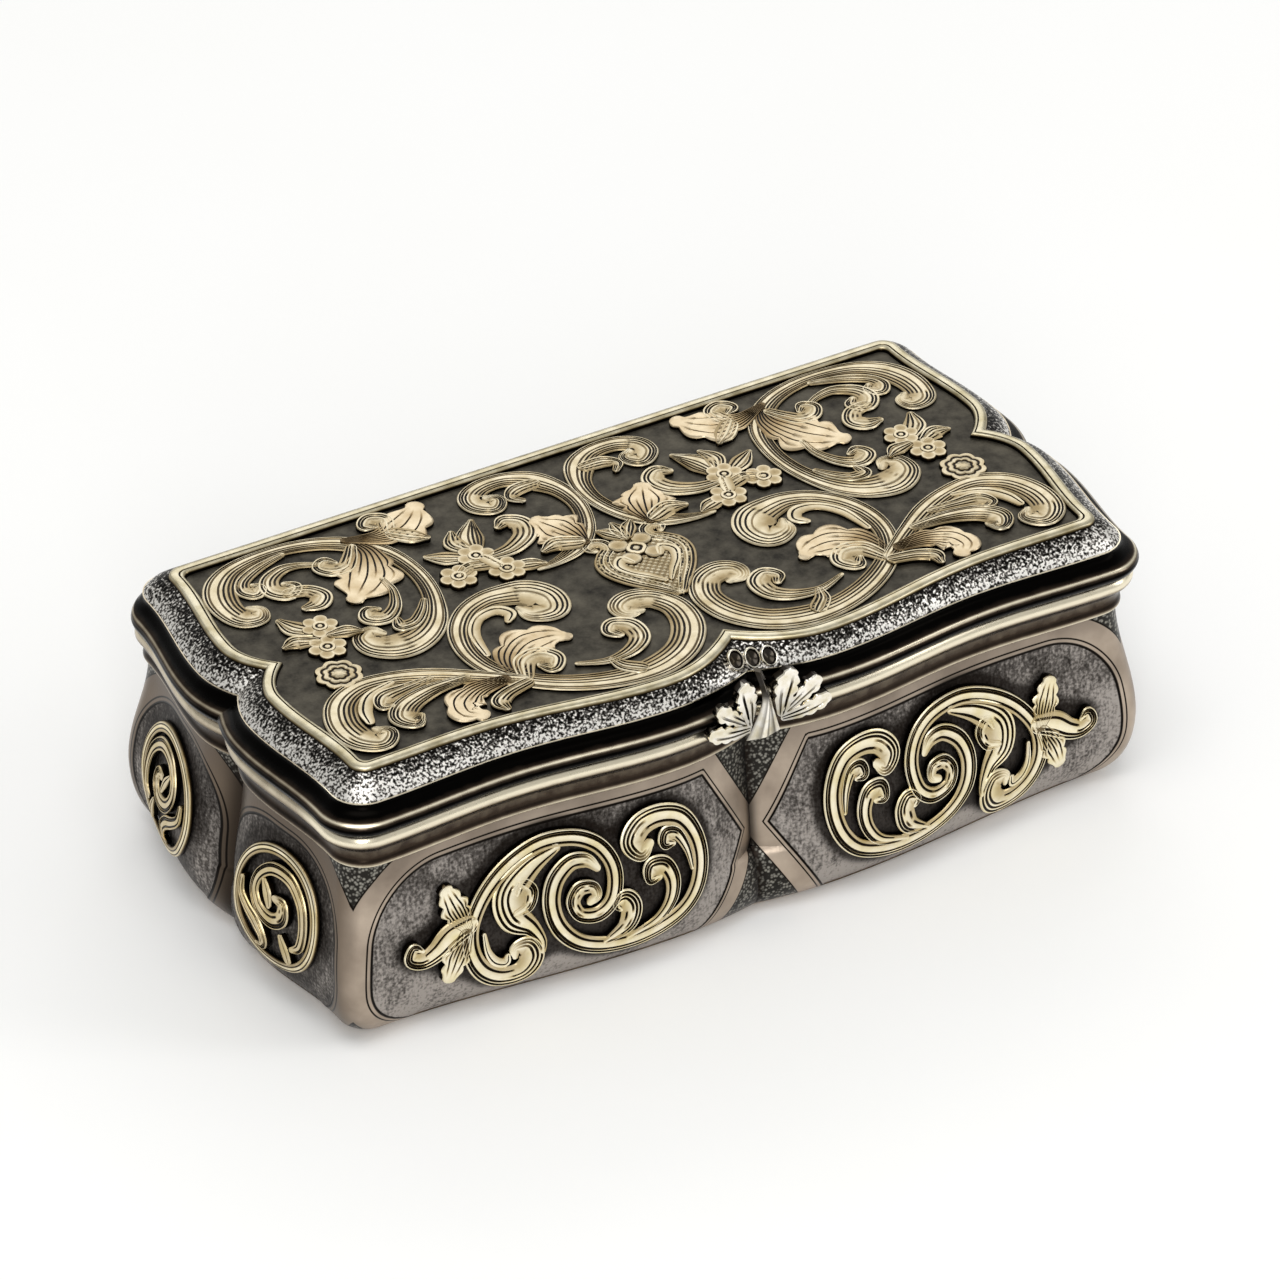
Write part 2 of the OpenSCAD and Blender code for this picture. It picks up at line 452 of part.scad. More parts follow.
module centre_cartouche() {
    lid_ornament(-1) {
        cartouche_shape();
        crest_shape();
        front_shape();
        mirror([1, 0]) crest_shape();
        mirror([1, 0]) front_shape();
    }
}
// Thumbpiece: three cupped petals over a keel that widens downwards, with a spray of leaves on each side
module thumb_keel() {
    cup = [[0, 0], [0.9, 0], [1.15, 0.35], [0.95, 0.6], [0.75, 0.35], [0, 0.15]];
    keel_mid = [0, -24.1, box_h - 3.6];
    color(silver) {
        for (s = [-1, 0, 1])
            translate([1.5 * s, -21.9 - 0.2 * abs(s), box_h - 1]) rotate([48, 0, 0])
            scale([0.75, 1.05, 1]) rotate_extrude($fn = 32) polygon(cup);
        hull() {
            translate([0, -22.7, box_h - 1.1]) sphere(0.4, $fn = 16);
            translate(keel_mid) sphere(0.5, $fn = 16);
            translate([-0.25, -23.6, lid_z + 0.3]) cube([0.5, 0.6, 0.9]);
        }
        hull() {
            translate(keel_mid) sphere(0.5, $fn = 16);
            for (p = [[-1.35, -23.8], [0, -24.4], [1.35, -23.8]])
                translate([p.x, p.y, box_h - 7.1]) sphere(0.25, $fn = 16);
        }
    }
}
module thumb_leaf_spray(side) {
    color(silver) for (leaf = thumb_leaves)
        wall_ribbon("bead", [for (p = leaf) [side * p.x, box_h + p.y, p[2]]], 3, 0.7);
}

base_plate();
body_shell();
body_rim();
bezel();
body_knuckles();
hinge_pin();
panel_scroll("front", -1);  // front_left_scroll
panel_scroll("front", 1);  // front_right_scroll
panel_scroll("back", -1);  // back_left_scroll
panel_scroll("back", 1);  // back_right_scroll
medallion(-1, -1);  // left_front_medallion
medallion(-1, 1);  // left_back_medallion
medallion(1, -1);  // right_front_medallion
medallion(1, 1);  // right_back_medallion
lid_rim();
lid_shell();
lid_lining();
lid_plaque();
lid_frame();
lid_knuckles();
corner_scroll(-1);  // corner_scroll_left
corner_scroll(1);  // corner_scroll_right
crest_scroll(-1);  // crest_scroll_left
crest_scroll(1);  // crest_scroll_right
front_scroll(-1);  // front_scroll_left
front_scroll(1);  // front_scroll_right
inner_flower_spray(-1);  // inner_flowers_left
inner_flower_spray(1);  // inner_flowers_right
end_flower_spray(-1);  // end_flowers_left
end_flower_spray(1);  // end_flowers_right
centre_cartouche();
thumb_keel();
thumb_leaf_spray(-1);  // thumb_left_leaves
thumb_leaf_spray(1);  // thumb_right_leaves
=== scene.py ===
import math

import bpy
import numpy as np
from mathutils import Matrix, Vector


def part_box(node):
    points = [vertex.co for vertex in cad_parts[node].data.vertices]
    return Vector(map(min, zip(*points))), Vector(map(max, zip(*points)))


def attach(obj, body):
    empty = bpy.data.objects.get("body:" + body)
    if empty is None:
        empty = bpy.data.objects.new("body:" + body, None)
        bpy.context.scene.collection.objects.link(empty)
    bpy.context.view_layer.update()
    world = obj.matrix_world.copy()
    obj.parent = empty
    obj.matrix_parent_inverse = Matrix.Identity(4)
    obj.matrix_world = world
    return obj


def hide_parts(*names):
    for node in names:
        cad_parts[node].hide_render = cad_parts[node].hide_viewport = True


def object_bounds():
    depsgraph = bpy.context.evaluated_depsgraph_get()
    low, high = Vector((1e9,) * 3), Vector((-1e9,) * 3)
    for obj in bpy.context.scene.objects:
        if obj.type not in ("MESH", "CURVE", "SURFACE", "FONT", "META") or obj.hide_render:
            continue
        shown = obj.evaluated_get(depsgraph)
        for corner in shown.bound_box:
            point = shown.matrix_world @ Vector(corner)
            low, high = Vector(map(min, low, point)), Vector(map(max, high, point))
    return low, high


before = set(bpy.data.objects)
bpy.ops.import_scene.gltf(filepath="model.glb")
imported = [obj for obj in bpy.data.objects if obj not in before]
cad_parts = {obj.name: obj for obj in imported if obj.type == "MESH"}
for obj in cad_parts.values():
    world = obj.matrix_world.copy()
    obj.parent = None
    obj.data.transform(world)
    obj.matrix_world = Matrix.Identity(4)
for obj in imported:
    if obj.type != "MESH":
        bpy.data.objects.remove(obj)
cad_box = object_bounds()

# Body wall. Sheet silver is raised into two bowed lobes on the front and on each end, swelling below and
# drawn in to a neck. Panels are sunk and matted inside plain borders, and the inside is gilt.
MM = 0.001
# Lengths are in millimetres, and b is how far a line stands outside the gilt frame of the lid
frame_l = 80.8
frame_w = 38
front_peak = 0.225
front_hollow = 0.95
end_peak = 0.28
bulge_z = 7.2
bulge_b = 3.5
foot_b = -1
foot_round = 2.6
neck_b = 2
wall_t = 1
panel_mid = 9
panel_half = 9
panel_edge = 2.1
panel_sink = 0.16
long_panel_r = 6.6
end_panel_r = 7
border_w = 2.9


def span(node):
    """Lowest and highest level of a node, in millimetres."""
    low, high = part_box(node)
    return low.z / MM, high.z / MM


def lobe(u, peak, bow):
    """Outward swell at share u of the way from the middle cusp of a bowed edge to its corner."""
    swell, cusp, hollow = bow
    turn = np.pi * (u - peak) / (1 - peak)
    near = swell - (swell - cusp) * (1 - u / peak) ** 2
    far = swell * (0.5 + 0.5 * np.cos(turn)) - hollow * (0.5 - 0.5 * np.cos(2 * turn))
    return np.where(u < peak, near, far)


def outline(b, r, front, end, back=math.inf):
    """Plan b outside the gilt frame, from the front cusp round by the right end, with corners of radius r."""
    hx = frame_l / 2 + b
    hy = frame_w / 2 + b
    by = min(hy, back)
    u = np.linspace(0, 1, 111) ** 1.4
    v = np.linspace(0, 1, 61) ** 1.3
    turn = np.linspace(0, np.pi / 2, 13)[1:]
    straight = np.linspace(1, 0, 71)[1:]
    edge = np.c_[u * (hx - r), -hy - lobe(u, front_peak, front)]
    front_corner = np.c_[hx - r + r * np.sin(turn), r - hy - r * np.cos(turn)][:-1]
    end_x = hx + lobe(v, end_peak, end)
    low_end = np.c_[end_x, -v * (hy - r)][:0:-1]
    high_end = np.c_[end_x, v * (by - r)]
    back_corner = np.c_[hx - r + r * np.cos(turn), by - r + r * np.sin(turn)]
    back_edge = np.c_[straight * (hx - r), 0 * straight + by]
    half = np.vstack([edge, front_corner, low_end, high_end, back_corner, back_edge])
    return np.vstack([half, half[-2:0:-1] * [-1, 1]])


def at_height(plan, z):
    """A plan raised to height z."""
    return np.c_[plan, np.full(len(plan), z)]


def shell(rings, capped=False, **layers):
    """Rings of points joined in order: a hoop closed on itself, or a bar capped at both ends."""
    rings = np.asarray(rings, float)
    rows, count = rings.shape[:2]
    i, j = np.meshgrid(np.arange(rows - capped), np.arange(count), indexing="ij")
    up = (i + 1) % rows * count
    on = (j + 1) % count
    quads = np.stack([i * count + j, i * count + on, up + on, up + j], -1).reshape(-1, 4)
    points = rings.reshape(-1, 3)
    a, b, c, d = (points[quads[:, k]] - points.mean(0) for k in range(4))
    volume = np.sum(a * np.cross(b, c)) + np.sum(a * np.cross(c, d))
    faces = quads.tolist()
    if capped:
        faces.append(list(range(count))[::-1])
        faces.append(list(range((rows - 1) * count, rows * count)))
    if volume < 0:
        faces = [face[::-1] for face in faces]
    spread = {key: np.broadcast_to(value, (rows, count)).ravel() for key, value in layers.items()}
    return points, faces, spread


def build(name, shells, finish, body, slot, *nodes, sharp=40):
    """One piece of the object from its shells, riding on a body in place of its CAD nodes."""
    faces = []
    start = 0
    for points, sides, _ in shells:
        faces += [[start + k for k in side] for side in sides]
        start += len(points)
    mesh = bpy.data.meshes.new(name)
    mesh.from_pydata((np.vstack([points for points, _, _ in shells]) * MM).tolist(), [], faces)
    for key in shells[0][2]:
        layer = mesh.attributes.new(key, "FLOAT", "POINT")
        values = np.concatenate([layers[key] for _, _, layers in shells])
        layer.data.foreach_set("value", values.astype(np.float32))
    mesh.materials.append(finish)
    mesh.shade_smooth()
    mesh.set_sharp_from_angle(angle=math.radians(sharp))
    piece = bpy.data.objects.new(name, mesh)
    bpy.context.scene.collection.objects.link(piece)
    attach(piece, body)
    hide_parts(*nodes)
    return piece


def linear(colour):
    """An sRGB hex colour as a linear one."""
    srgb = np.array([int(colour[k:k + 2], 16) for k in (1, 3, 5)]) / 255
    rgb = np.where(srgb <= 0.04045, srgb / 12.92, ((srgb + 0.055) / 1.055) ** 2.4)
    return (*rgb.tolist(), 1)


def add(tree, kind, inputs, stops=(), **settings):
    """Adds a node, or takes one that is there, and gives it its settings, links and ramp colours."""
    made = tree.nodes.new("ShaderNode" + kind) if isinstance(kind, str) else kind
    for key, value in settings.items():
        setattr(made, key, value)
    for key, value in inputs.items():
        if isinstance(value, bpy.types.NodeSocket):
            tree.links.new(value, made.inputs[key])
        else:
            made.inputs[key].default_value = value
    for k, (place, colour) in enumerate(stops):
        ramp = made.color_ramp.elements
        element = ramp[k] if k < 2 else ramp.new(place)
        element.position = place
        element.color = linear(colour)
    return made


def new_finish(name):
    """A new material, with its node tree, its surface shader and places on the object in metres."""
    made = bpy.data.materials.new(name)
    made.use_nodes = True
    tree = made.node_tree
    return made, tree, tree.nodes["Principled BSDF"], add(tree, "TexCoord", {}).outputs["Object"]


wall_foot, wall_top = span("body_shell")


def wall_b(z):
    """How far the wall stands outside the gilt frame at height z."""
    drop = np.clip((bulge_z - z) / bulge_z, 0, 1)
    below = foot_b + (bulge_b - foot_b) * (1 - drop ** foot_round) ** (1 / foot_round)
    wave = np.cos(np.pi * (z - bulge_z) / (wall_top - bulge_z))
    above = (bulge_b + neck_b) / 2 + (bulge_b - neck_b) / 2 * wave
    return np.where(z < bulge_z, below, above)


def fullness(z):
    """Share of the swell at height z, whole at the bulge and none at the neck."""
    return np.maximum(0, 1 - np.abs(z - bulge_z) / (wall_top - bulge_z))


def footing(z):
    """Share by which the cusps have run out at height z, whole at the foot and none from the bulge up."""
    return np.sqrt(np.maximum(0, 1 - z / bulge_z))


def wall_front(z):
    """Bow of the front at height z, as swell, cusp and hollow: its lobes grow below the neck."""
    low = np.minimum(1, (wall_top - z) / (wall_top - bulge_z))
    return 1.25 + low, -0.7 - 0.3 * fullness(z) + 2.4 * footing(z), front_hollow * (1 - low)


def wall_end(z):
    """Bow of the ends at height z."""
    return 1.4 + 0.7 * fullness(z), -0.2 - 0.5 * fullness(z) + 1.4 * footing(z), 0


def wall_corner(z):
    """Radius of the corners at height z."""
    return 3 - fullness(z)


def wall_ring(z, inset=0, plain=False):
    """Plan of the wall at height z, set in by a given amount, or plain without its lobes."""
    front = (0, 0, 0) if plain else wall_front(z)
    end = (0, 0, 0) if plain else wall_end(z)
    return outline(wall_b(z) - inset, wall_corner(z) - 0.6 * inset, front, end)


def rounded(x, y, half_x, half_y, r):
    """Depth inside a rectangle with round corners."""
    qx = np.abs(x) - half_x + r
    qy = np.abs(y) - half_y + r
    return r - np.hypot(np.maximum(qx, 0), np.maximum(qy, 0)) - np.minimum(np.maximum(qx, qy), 0)


def long_panel(s, z, far):
    """Depth inside a front panel: pointed towards the cusp, round towards the corner at far."""
    point_s = 1.5
    point_z = 10
    rise = 8.2
    fall = 7.2
    run = 4.4
    upper = ((s - point_s) * rise - (z - point_z) * run) / math.hypot(rise, run)
    lower = ((s - point_s) * fall + (z - point_z) * run) / math.hypot(fall, run)
    length = 40
    round_end = rounded(s - far + length, z - panel_mid, length, panel_half, long_panel_r)
    # The border is narrower along the point than along the rest of the panel
    narrower = 1.3
    return np.minimum.reduce([narrower * upper, narrower * lower, round_end])


def smoothstep(x, low, high):
    """A soft step from 0 at low to 1 at high."""
    t = np.clip((x - low) / (high - low), 0, 1)
    return t * t * (3 - 2 * t)


# Rows up the outside of the wall and down its inside. Each carries its depth inside the panels, painted light
# on their matted ground, darker upward, a little lighter by the panels' edges and darker on the ends, and a
# painted sheen on the borders, which the ends lack. The creases between the lobes carry painted shade.
low_turn = np.linspace(math.acos(1 - wall_foot / bulge_z), np.pi / 2, 27)
wall_z = np.concatenate([bulge_z * (1 - np.cos(low_turn)), np.linspace(bulge_z, wall_top, 41)[1:]])
cusp_shift = 0.35
front_crease = 0.55
end_crease = 1.7
wall_rows = []
wall_depth = []
wall_light = []
wall_sheen = []
wall_s = []
wall_end_s = []
wall_crease_shade = []
for z in wall_z:
    ring = wall_ring(z)
    flat = wall_ring(z, plain=True)
    half = len(flat) // 2 + 1
    walk = np.concatenate([[0], np.cumsum(np.hypot(*np.diff(flat[:half], axis=0).T))])
    walk = np.concatenate([walk, walk[-2:0:-1]])
    r = wall_corner(z)
    straight = frame_l / 2 + wall_b(z) - r
    ridge = straight + r * np.pi / 4
    end_mid = straight + r * np.pi / 2 + frame_w / 2 + wall_b(z) - r
    from_back = walk.max() - walk
    reach = end_mid - ridge
    along_end = np.abs(walk - end_mid)
    from_middle = along_end - reach / 2 + cusp_shift
    end_half = reach / 2 + cusp_shift - panel_edge
    depth = np.maximum.reduce([
        long_panel(walk, z, ridge - panel_edge),
        long_panel(from_back, z, ridge - panel_edge),
        rounded(from_middle, z - panel_mid, end_half, panel_half, end_panel_r)])
    ahead = np.roll(ring, -1, 0) - np.roll(ring, 1, 0)
    outward = np.c_[ahead[:, 1], -ahead[:, 0]] / np.hypot(*ahead.T)[:, None]
    ring = ring - outward * (panel_sink * smoothstep(depth, 0, 0.4))[:, None]
    # Painted sheen: whole on the front and back, none on the ends
    sheen = smoothstep(along_end, reach - 2, reach + 1)
    wall_rows.append(at_height(ring, z))
    wall_depth.append(depth)
    wall_sheen.append(sheen)
    # Painted light on the matted ground, darker upward, lighter by the panel's edge and darker on the ends
    wall_light.append((1.1 - 0.04 * z + 0.06 * np.exp(-(depth / 2) ** 2)) * (0.5 + 0.5 * sheen))
    wall_s.append(np.minimum(walk, from_back))
    wall_end_s.append(along_end)
    # Painted shade in the creases at the cusps between the lobes
    wall_crease_shade.append(0.95 * np.exp(-np.minimum(walk / front_crease, along_end / end_crease) ** 2))
for z in wall_z[::-2]:
    wall_rows.append(at_height(wall_ring(z, wall_t), z))
    for layer, inner_value in ((wall_depth, -9.0), (wall_light, 0.5), (wall_sheen, 1.0)):
        layer.append(np.full(len(ring), inner_value))
inside = (np.arange(len(wall_rows)) >= len(wall_z))[:, None] * 1.0

# Raised silver: satin borders, panels brushed and matted, dark lines cut with a graver, and coarse stipple in
# the corners between the borders. Tarnish and painted shade lie inside the scrolls and round the medallions,
# painted shade in the creases, and the ground and borders are painted darker on the ends and up under the
# rim.
# Brush marks, grit and punch marks are drawn coarser than the real ones, so that they show.
raised_silver, tree, surface, place = new_finish("raised_silver")
depth, tarnish, gilding, light, sheen = (
    add(tree, "Attribute", {}, attribute_name=layer).outputs["Fac"]
    for layer in ("panel", "tarnish", "gilding", "light", "sheen"))
cloud = add(tree, "TexNoise", {"Vector": place, "Scale": 1 / (5 * MM), "Detail": 5}).outputs["Fac"]
upright = add(tree, "Mapping", {"Vector": place, "Scale": (1, 1, 0.12)}).outputs["Vector"]
brush = add(tree, "TexNoise", {"Vector": upright, "Scale": 1 / (0.3 * MM), "Detail": 3}).outputs["Fac"]
grit = add(tree, "TexNoise", {"Vector": place, "Scale": 1 / (0.3 * MM), "Detail": 2}).outputs["Fac"]
punch = add(tree, "TexVoronoi", {"Vector": place, "Scale": 1 / (0.34 * MM)}).outputs["Distance"]
# A colour mix takes its share at socket 0 and its colours at 6 and 7, and gives socket 2
border = add(tree, "ValToRGB", {"Fac": cloud}, [(0.3, "#948678"), (0.7, "#c2b2a1")]).outputs["Color"]
# Painted sheen: the borders are painted darker on the ends, which lack it
border = add(tree, "Mix", {0: sheen, 6: linear("#6f6255"), 7: border}, data_type="RGBA").outputs[2]
# Painted shade darkens the borders towards the top, under the rim
level = add(tree, "SeparateXYZ", {"Vector": place}).outputs["Z"]
neck_shade = {"Value": level, "From Min": 16 * MM, "From Max": 20 * MM, "To Max": 0.5}
neck_shade = add(tree, "MapRange", neck_shade).outputs["Result"]
border = add(tree, "Mix", {0: neck_shade, 6: border, 7: linear("#453d37")}, data_type="RGBA").outputs[2]
# The painted light on the matted ground, varied by cloud, brush marks and grit
for marks, strength in ((cloud, 0.3), (brush, 0.2), (grit, 0.32)):
    mark = {"Value": marks, "From Min": 0.3, "From Max": 0.7, "To Min": -strength, "To Max": strength}
    mark = add(tree, "MapRange", mark).outputs["Result"]
    light = add(tree, "Math", {0: light, 1: mark}, operation="ADD").outputs["Value"]
matted = [(0.0, "#332f2c"), (0.45, "#625d59"), (1.0, "#aca59f")]
ground = add(tree, "ValToRGB", {"Fac": light}, matted).outputs["Color"]
soot_and_shade = add(tree, "MapRange", {"Value": tarnish, "To Max": 0.9}).outputs["Result"]
stipple = add(tree, "ValToRGB", {"Fac": punch}, [(0.14, "#96938a"), (0.55, "#2c2a27")]).outputs["Color"]
ramp_low = -3.4
ramp_high = 0.4


def on_ramp(depth):
    """Place of a depth inside the panels on the ramps that draw their edges and lines."""
    return (depth - ramp_low) / (ramp_high - ramp_low)


across = {"Value": depth, "From Min": ramp_low, "From Max": ramp_high}
across = add(tree, "MapRange", across).outputs["Result"]
inner_stops = [(on_ramp(0) - 0.01, "#000000"), (on_ramp(0) + 0.01, "#ffffff")]
inner = add(tree, "ValToRGB", {"Fac": across}, inner_stops).outputs["Color"]
beyond_stops = [(on_ramp(-border_w) - 0.01, "#ffffff"), (on_ramp(-border_w) + 0.01, "#000000")]
beyond = add(tree, "ValToRGB", {"Fac": across}, beyond_stops).outputs["Color"]
line_stops = []
for middle, half_line in ((-border_w, 0.07), (-0.55, 0.08), (0, 0.13)):
    for offset, colour in ((-1.5, "#000000"), (-0.8, "#ffffff"), (0.8, "#ffffff"), (1.5, "#000000")):
        line_stops.append((on_ramp(middle + offset * half_line), colour))
lines = add(tree, "ValToRGB", {"Fac": across}, line_stops).outputs["Color"]
skin = border
# Tarnish and painted shade darken the wall towards #1b1511
for share, coat in (
        (inner, ground), (beyond, stipple), (soot_and_shade, linear("#1b1511")), (lines, linear("#15110e")),
        (gilding, linear("#d6b56a"))):
    skin = add(tree, "Mix", {0: share, 6: skin, 7: coat}, data_type="RGBA").outputs[2]
rough = add(tree, "MapRange", {"Value": inner, "To Min": 0.36, "To Max": 0.55}).outputs["Result"]
relief = add(tree, "Bump", {"Height": grit, "Strength": 0.25, "Distance": 0.04 * MM}).outputs["Normal"]
add(tree, surface, {"Base Color": skin, "Metallic": 1.0, "Roughness": rough, "Normal": relief})

wall_layers = {"panel": np.array(wall_depth), "light": np.array(wall_light), "sheen": np.array(wall_sheen)}
wall = build(
    "body_wall", [shell(wall_rows, tarnish=0.0, gilding=inside, **wall_layers)],
    raised_silver, "box", "wall_silver", "body_shell")

# Base plate. A flat silver plate closes the foot of the wall, its edge rounded up to meet it and soldered
# all round. Its upper face is the gilt floor of the box.
base_high = span("base_plate")[1]
first_turn = 0.02
base_turn = np.linspace(first_turn, math.acos(1 - base_high / bulge_z), 9)
base_rows = [at_height(wall_ring(z), z) for z in bulge_z * (1 - np.cos(base_turn))]
floor_row = at_height(wall_ring(base_high, wall_t), base_high)
base_gilt = np.r_[np.zeros(len(base_rows)), 1][:, None]
base_layers = {"panel": -1.0, "light": 0.5, "sheen": 1.0, "tarnish": 0.0, "gilding": base_gilt}
build(
    "base_plate_finish", [shell([*base_rows, floor_row], capped=True, **base_layers)],
    raised_silver, "box", "wall_silver", "base_plate")

# Body rim. A drawn silver moulding, a bead over a hollow, is bent to the outline and soldered round the
# top of the wall. A ledge inside it carries the bezel.
rim_back = frame_w / 2 + 2.6


def rim_front(b):
    """Bow of the front of the lid and the rims, flatter and with softer cusps as they stand further out."""
    return 2.25 - 0.5 * min(max(b, 0), 2.4), -1.2 + 0.26 * b, front_hollow


def rim_ring(b, z):
    """A ring of the lid or of the rims, b outside the gilt frame, at height z."""
    plan = outline(b, 1.6 + 0.75 * max(b, -1), rim_front(b), (1.4, -0.8 + 0.31 * b, 0), rim_back)
    return at_height(plan, z)


def smooth(points, steps):
    """A smooth curve through given points, with one cubic from each to the next."""
    p = np.asarray(points, float)
    p = np.vstack([p[:1], p, p[-1:]])
    t = np.linspace(0, 1, steps, endpoint=False)[:, None]
    spans = [
        (2 * b + (c - a) * t + (2 * a - 5 * b + 4 * c - d) * t ** 2 + (3 * b - a - 3 * c + d) * t ** 3) / 2
        for a, b, c, d in zip(p, p[1:], p[2:], p[3:])]
    return np.vstack([*spans, p[-1:]])


def moulding(profile, foot, inner):
    """A moulding of [out, up, painted tone] points, with square inner corners, its painted tone darker along
    the ends.
    """
    rows = [*smooth(profile, 4), *[(b, z, 0.6) for b, z in inner]]
    rings = np.array([rim_ring(b, foot + z) for b, z, _ in rows])
    # Painted shade: the tone is dimmed along the ends, behind the front corners
    painted_end_shade = smoothstep(np.abs(rings[..., 0]), 39, 42) * smoothstep(rings[..., 1], -18, -14)
    return shell(rings, tone=np.array([[tone] for _, _, tone in rows]) * (1 - 0.25 * painted_end_shade))


# Polished silver, its tone painted along the profile: painted highlights, bright and a little warm, on the
# crests, and black in the hollows, a painted dark reflection over old tarnish, with soft cloudy wear between
# the two.
polished_silver, tree, surface, place = new_finish("polished_silver")
tone = add(tree, "Attribute", {}, attribute_name="tone").outputs["Fac"]
rub = add(tree, "TexNoise", {"Vector": place, "Scale": 1 / (1.5 * MM), "Detail": 6}).outputs["Fac"]
wear_and_light = add(tree, "MapRange", {"Value": rub, "To Min": -0.12, "To Max": 0.12}).outputs["Result"]
wear_and_light = add(tree, "Math", {0: tone, 1: wear_and_light}, operation="ADD").outputs["Value"]
tones = [(0.08, "#080706"), (0.35, "#3b3129"), (0.65, "#9c8f7b"), (0.95, "#f0e6cd")]
metal = add(tree, "ValToRGB", {"Fac": wear_and_light}, tones).outputs["Color"]
rough = add(tree, "MapRange", {"Value": rub, "To Min": 0.2, "To Max": 0.36}).outputs["Result"]
add(tree, surface, {"Base Color": metal, "Metallic": 1.0, "Roughness": rough})

rim_foot = span("body_rim")[0]
# Tone is painted light: painted highlights on the bead and the lower edge, a painted dark reflection in the
# hollow
rim_profile = [
    (2.3, 0, 0.8), (2.5, 0.2, 0.9), (2.45, 0.6, 0.25), (2.3, 1.1, 0.36), (2.45, 1.95, 0.4), (3.05, 2.5, 0.3),
    (3.45, 3, 0.5), (3.5, 3.3, 0.9), (3.48, 3.6, 1.0), (3.3, 3.95, 0.95), (2.9, 4.3, 0.1)]
ledge = [(1, 4.3), (1, 2.8), (0.2, 2.8), (0.2, 1.9), (1, 0)]
build(
    "body_moulding", [moulding(rim_profile, rim_foot, ledge)],
    polished_silver, "box", "rim_silver", "body_rim")

# Bezel. An upright flange of sheet, bent to the outline and soldered on the ledge, that the lid closes
# over. Like the rest of the inside it is fire-gilt, smooth and warm.
fire_gilt, tree, surface, place = new_finish("fire_gilt")
wash = add(tree, "TexNoise", {"Vector": place, "Scale": 1 / (6 * MM), "Detail": 6}).outputs["Fac"]
gold = add(tree, "ValToRGB", {"Fac": wash}, [(0.3, "#cca45a"), (0.7, "#dfc27a")]).outputs["Color"]
rough = add(tree, "MapRange", {"Value": wash, "To Min": 0.22, "To Max": 0.4}).outputs["Result"]
add(tree, surface, {"Base Color": gold, "Metallic": 1.0, "Roughness": rough})

bezel_foot, bezel_top = span("bezel")
bezel_profile = [
    (0.95, bezel_foot), (0.95, bezel_top - 0.15), (0.8, bezel_top), (0.35, bezel_top),
    (0.2, bezel_top - 0.15), (0.2, bezel_foot)]
build(
    "bezel_flange", [shell([rim_ring(b, z) for b, z in bezel_profile])],
    fire_gilt, "box", "lining_gilt", "bezel")

